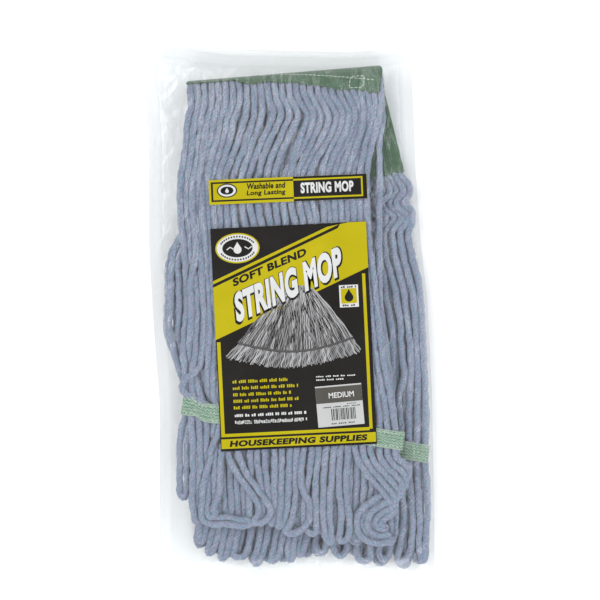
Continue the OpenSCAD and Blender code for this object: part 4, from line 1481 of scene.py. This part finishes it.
class AddMainPanel(bpy.types.Operator):
    """Makes the main printed panel's shapes and words"""

    bl_idname = "mop.add_main_panel"
    bl_label = "Main panel"

    def execute(self, context):
        s = context.scene.mop_print
        rng = np.random.default_rng(11)
        yellow, white, black = inks(s)
        dress(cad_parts["main_panel"], black[0])
        z = high("main_panel")[2] + INK_GAP
        shapes = [
            [(-64.7, low_line(-64.7)), (64.7, low_line(64.7)), (64.7, 92.4), (50, 92.4),
            (32, high_line(32) + 1), (-64.7, high_line(-64.7) + 1)],
            rect(-63.9, -80.8, -60.9, low_line(-62) - 3),
            rect(59.2, -79.6, 61.8, low_line(60) - 3),
            rect(-60.9, -80.8, 59.2, -78.2),
            [(-64.2, -90.6), (64.2, -90.6), (64.2, -82.6), (-64.2, -82.6)],
        ]
        print_piece("panel_yellow_shapes", MAIN, shapes, z, *yellow)
        bar = [[(-64.7, high_line(-64.7) - 4.2), (41, high_line(41) - 4.2), (43, high_line(43) - 1.6),
            (28, high_line(28) - 1.6), (-64.7, high_line(-64.7) - 1.6)]]
        print_piece("panel_black_bar", MAIN, bar, z + INK_STEP, *black)
        print_piece("panel_badge_edge", MAIN, [ellipse(*BADGE, 18.4, 12.6)], z + INK_STEP, *yellow)
        print_piece("panel_badge_ring", MAIN, [ellipse(*BADGE, 17.2, 11.4)], z + 2 * INK_STEP, *white)
        print_piece("panel_badge_middle", MAIN, [ellipse(*BADGE, 12.6, 7.6)], z + 3 * INK_STEP, *black)
        ripples = []
        for x, numbers in ((-52, range(3)), (-40, range(1, 4))):
            ripples.append(thick_line([(x + 3 * i, BADGE[1] + (1.0 if i % 2 else -1.0)) for i in numbers],
                0.9))
        print_piece("panel_badge_drop", MAIN, [drop(-43, 74.2, 3.4)] + ripples, z + 4 * INK_STEP, *white)
        marks = []
        for i in range(40):
            a = 2 * math.pi * i / 40
            if abs(math.sin(a)) > 0.35:
                cx, cy = BADGE[0] + 15.0 * math.cos(a), BADGE[1] + 9.6 * math.sin(a)
                marks.append(rect(cx - 0.6, cy - 0.75, cx + 0.6, cy + 0.75))
        print_piece("panel_badge_marks", MAIN, marks, z + 3 * INK_STEP, *black)
        word_piece("panel_small_title", MAIN, "SOFT BLEND", (-47.8, 43.4), (62, 6.6), z + INK_STEP, *black,
            bold=0.045, rise=0.377, lean=0.1)
        word_piece("panel_title_edge", MAIN, s.title, (-46.4, 12.3), (90, 25.0), z + 5 * INK_STEP, *black,
            bold=0.085, rise=0.397, outline=1.3, lean=0.06)
        word_piece("panel_title", MAIN, s.title, (-46.4, 13.1), (90, 25.0), z + 6 * INK_STEP, *white,
            bold=0.05, rise=0.397, lean=0.06)
        print_piece("panel_bullets_yellow", MAIN,
            sum([worn_words(-52.5, -36.6 - 5.4 * i, -4 + 6 * (i % 2), 2.6, rng) for i in range(5)], []), z,
            *yellow)
        print_piece("panel_bullets_white", MAIN,
            sum([worn_words(-52, -36.6 - 5.4 * i - 1.0, 8, 2.3, rng) for i in range(5, 7)], [])
            + worn_words(-50, -70.6, 4, 2.3, rng), z, *white)
        print_piece("panel_small_lines", MAIN,
            worn_words(17, -35, 52, 1.2, rng) + worn_words(17, -37.8, 40, 1.2, rng), z, *white)
        word_piece("panel_strip_words", MAIN, "HOUSEKEEPING SUPPLIES", (-57.5, -89.2), (114, 5.2),
            z + INK_STEP, *black, bold=0.055, lean=-0.2)
        print_piece("panel_mark_edge", MAIN, [rect(39.6, 22, 55.4, 40.5)], z, *white)
        print_piece("panel_mark_field", MAIN, [rect(41.0, 25.2, 54.0, 37.6)], z + INK_STEP, *yellow)
        print_piece("panel_mark_drop", MAIN,
            [drop(47.5, 30.2, 3.6)] + worn_words(41.2, 38.1, 54.0, 1.6, rng)
            + worn_words(42, 22.9, 53.0, 1.5, rng), z + 2 * INK_STEP, *black)
        self.picture(z, rng)
        return {"FINISHED"}

    def picture(self, z, rng):
        """A drawn mop that fans out from its top to its looped ends, in four greys."""
        greys = [ink_material(f"Grey ink {i}", (g, g, g * 1.02)) for i,
            g in enumerate((0.075, 0.165, 0.25, 0.38))]
        sets = [[], [], [], []]
        for i in range(150):
            s = i / 149
            top_x, top_y = -4 + 21 * s, 39 + 3 * math.sin(s * math.pi)
            knee_x, knee_y = -46 + 95 * s, -3 - 9.0 * math.sin(s * math.pi)
            line = []
            for k in range(15):
                t = k / 14
                spread = t**0.85
                x = top_x + (knee_x - top_x) * spread + 0.45 * math.sin(t * 17 + i * 1.7)
                y = top_y + (knee_y - top_y) * t
                line.append((x, y))
            sets[int(rng.choice([0, 1, 2, 3], p=[0.14, 0.38, 0.34, 0.14]))].append(thick_line(line,
                rng.uniform(0.4, 0.75)))
        for i in range(90):
            s = i / 89
            knee_x, knee_y = -46 + 95 * s, -4.5 - 9.0 * math.sin(s * math.pi)
            end_x, end_y = -57 + 112 * s, -15 - 10.5 * math.sin(s * math.pi) + rng.uniform(-1.2, 1.2)
            line = [(knee_x + (end_x - knee_x) * t + 0.4 * math.sin(t * 9 + i),
                knee_y + (end_y - knee_y) * t) for t in np.linspace(0, 1, 8)]
            sets[int(rng.choice([1, 2, 3], p=[0.3, 0.45, 0.25]))].append(thick_line(line,
                rng.uniform(0.7, 1.1)))
        band = [(-46 + 95 * s, -3.4 - 9.0 * math.sin(s * math.pi)) for s in np.linspace(0, 1, 30)]
        for i in range(4):
            print_piece(f"panel_picture_grey_{i}", MAIN, sets[i], z + (0.5 + i) * INK_STEP * 0.8, greys[i],
                "sticker" if i else "black_print")
        print_piece("panel_picture_band", MAIN, [thick_line(band, 1.7)], z + 4 * INK_STEP, greys[0],
            "black_print")


class AddHeaderPanel(bpy.types.Operator):
    """Makes the header panel's shapes and words"""

    bl_idname = "mop.add_header_panel"
    bl_label = "Header panel"

    def execute(self, context):
        s = context.scene.mop_print
        rng = np.random.default_rng(12)
        yellow, white, black = inks(s)
        dress(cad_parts["header_panel"], yellow[0])
        z = high("header_panel")[2] + INK_GAP
        border = [rect(-63.8, -8, 4.6, -6.6), rect(-63.8, 6.9, 4.6, 8.3), rect(-63.8, -6.6, -62.2, 6.9)]
        print_piece("header_black_shapes", HEADER, border + [rect(4.6, -10.2, 65.6, 10.2)], z, *black)
        frame_lines = [rect(4.6, -8.2, 62.2, -6.8), rect(4.6, 7.0, 62.2, 8.4), rect(60.8, -6.8, 62.2, 7.0)]
        print_piece("header_yellow_lines", HEADER, frame_lines, z + INK_STEP, *yellow)
        word_piece("header_title", HEADER, s.title, (10.5, -3.9), (44, 9), z + INK_STEP, *white, bold=0.045)
        print_piece("header_badge_edge", HEADER, [ellipse(*HEADER_BADGE, 8.4, 5.8)], z + INK_STEP, *black)
        print_piece("header_badge_ring", HEADER, [ellipse(*HEADER_BADGE, 7.4, 4.9)], z + 2 * INK_STEP, *white)
        print_piece("header_badge_middle", HEADER, [ellipse(*HEADER_BADGE, 5.4, 3.3)], z + 3 * INK_STEP,
            *black)
        print_piece("header_badge_drop", HEADER, [drop(-50.6, 0.5, 1.5)], z + 4 * INK_STEP, *white)
        word_piece("header_line_upper", HEADER, "Washable and", (-34.5, 1.3), (32, 5.0), z + INK_STEP,
            *black, bold=0.035, lean=-0.1)
        word_piece("header_line_lower", HEADER, "Long Lasting", (-34.5, -4.9), (32, 5.2), z + INK_STEP,
            *black, bold=0.035, lean=-0.1)
        return {"FINISHED"}


class AddSticker(bpy.types.Operator):
    """Makes the size sticker's strip, word, lines and bars"""

    bl_idname = "mop.add_sticker"
    bl_label = "Size sticker"

    def execute(self, context):
        s = context.scene.mop_print
        rng = np.random.default_rng(13)
        grey = ink_material("Sticker strip", s.grey, 0.4)
        _, white, black = inks(s)
        dress(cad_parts["size_sticker"],
            ink_material("Sticker paper", tuple(c * 0.78 for c in s.white), 0.5))
        z = high("size_sticker")[2] + INK_GAP
        print_piece("sticker_strip", STICKER, [rect(-19.2, 2.6, 19.2, 15.8)], z, grey, "black_print")
        word_piece("sticker_size", STICKER, s.size_word, (-8.5, 6.4), (21, 4.6), z + INK_STEP, *white,
            bold=0.02)
        bars = []
        x = -7.5
        while x < 12.5:
            w = rng.uniform(0.25, 0.8)
            bars.append(rect(x, -12.0, x + w, -2.4))
            x += w + rng.uniform(0.3, 0.8)
        print_piece("sticker_bars", STICKER, bars, z, *black)
        print_piece("sticker_lines", STICKER,
            worn_words(-14, -1.4, 17, 0.9, rng) + worn_words(6, 0.7, 14, 0.8, rng)
            + worn_words(-8, -15.3, 13, 1.0, rng), z, *black)
        return {"FINISHED"}


# ---- Stage ----


class AddStage(bpy.types.Operator):
    """Makes the pale floor, the soft lights and the camera straight above"""

    bl_idname = "mop.add_stage"
    bl_label = "Stage"

    def execute(self, context):
        s = context.scene.mop_stage
        bpy.ops.object.select_all(action="DESELECT")
        bpy.ops.mesh.primitive_plane_add(size=8, location=(0, 0, -0.0015))
        floor = context.object
        floor.name = "floor"
        made, tree, shader = material("Pale floor")
        if tree is not None:
            where = node(tree, "ShaderNodeTexCoord").outputs["Object"]
            grain = node(tree, "ShaderNodeTexNoise", {"Vector": where, "Scale": 3.0, "Detail": 2.0})
            c = tuple(s.floor)
            tree.links.new(mix_colour(tree, grain.outputs["Fac"], tuple(x * 0.99 for x in c), c),
                shader.inputs["Base Color"])
            shader.inputs["Roughness"].default_value = 0.9
            shader.inputs["Specular IOR Level"].default_value = 0.1
        dress(floor, made)
        world = bpy.data.worlds.new("Studio")
        world.use_nodes = True
        world.node_tree.nodes["Background"].inputs["Color"].default_value = (0.985, 0.99, 1.0, 1.0)
        world.node_tree.nodes["Background"].inputs["Strength"].default_value = 0.74 * s.light
        context.scene.world = world
        context.scene.view_settings.view_transform = "Standard"
        for name, place, size, power, shade in (
            ("key", (-0.9, 0.5, 1.6), 1.1, 15.0, (1.0, 0.99, 0.97)),
            ("fill", (1.1, 0.2, 1.4), 1.0, 8.5, (0.97, 0.985, 1.0)),
            ("end", (0.1, -1.2, 1.3), 0.9, 10.5, (1.0, 1.0, 1.0)),
        ):
            light = bpy.data.lights.new(name, "AREA")
            light.shape = "SQUARE"
            light.size = size
            light.energy = power * s.light
            light.color = shade
            lamp = bpy.data.objects.new(name, light)
            lamp.location = place
            direction = -np.array(place)
            lamp.rotation_mode = "QUATERNION"
            lamp.rotation_quaternion = mathutils.Vector(direction).to_track_quat("-Z", "Y")
            context.scene.collection.objects.link(lamp)
        data = bpy.data.cameras.new("camera")
        data.lens = 108
        data.sensor_width = 36
        camera = bpy.data.objects.new("camera", data)
        camera.location = (0.0095, 0.0091, 0.0413 + 1.494)
        context.scene.collection.objects.link(camera)
        context.scene.camera = camera
        return {"FINISHED"}


class MopPanel(bpy.types.Panel):
    bl_label = "String mop head"
    bl_idname = "VIEW3D_PT_string_mop_head"
    bl_space_type = "VIEW_3D"
    bl_region_type = "UI"
    bl_category = "Mop"

    def draw(self, context):
        for label, name, operators in SECTIONS:
            box = self.layout.box()
            box.label(text=label)
            settings = getattr(context.scene, name)
            for key in settings.bl_rna.properties.keys():
                if key not in ("rna_type", "name"):
                    box.prop(settings, key)
            for operator in operators:
                box.operator(operator.bl_idname)


SECTIONS = (
    ("Yarn", "mop_yarn", (AddFrontYarn, AddBackYarn)),
    ("Headband and tapes", "mop_band", (AddHeadband, AddTailTapes)),
    ("Bag", "mop_bag", (AddBag,)),
    ("Printing", "mop_print", (AddMainPanel, AddHeaderPanel, AddSticker)),
    ("Stage", "mop_stage", (AddStage,)),
)
SETTINGS = {"mop_yarn": YarnSettings, "mop_band": BandSettings, "mop_bag": BagSettings,
    "mop_print": PrintSettings, "mop_stage": StageSettings}
CLASSES = (*SETTINGS.values(), AddFrontYarn, AddBackYarn, AddHeadband, AddTailTapes, AddBag, AddMainPanel,
    AddHeaderPanel, AddSticker, AddStage, MopPanel)


def register():
    for made in CLASSES:
        bpy.utils.register_class(made)
    for name, settings in SETTINGS.items():
        setattr(bpy.types.Scene, name, PointerProperty(type=settings))


def unregister():
    for name in SETTINGS:
        delattr(bpy.types.Scene, name)
    for made in reversed(CLASSES):
        bpy.utils.unregister_class(made)


def main():
    register()
    for _, _, operators in SECTIONS:
        for operator in operators:
            group_name, call = operator.bl_idname.split(".")
            getattr(getattr(bpy.ops, group_name), call)()


if __name__ == "__main__":
    main()
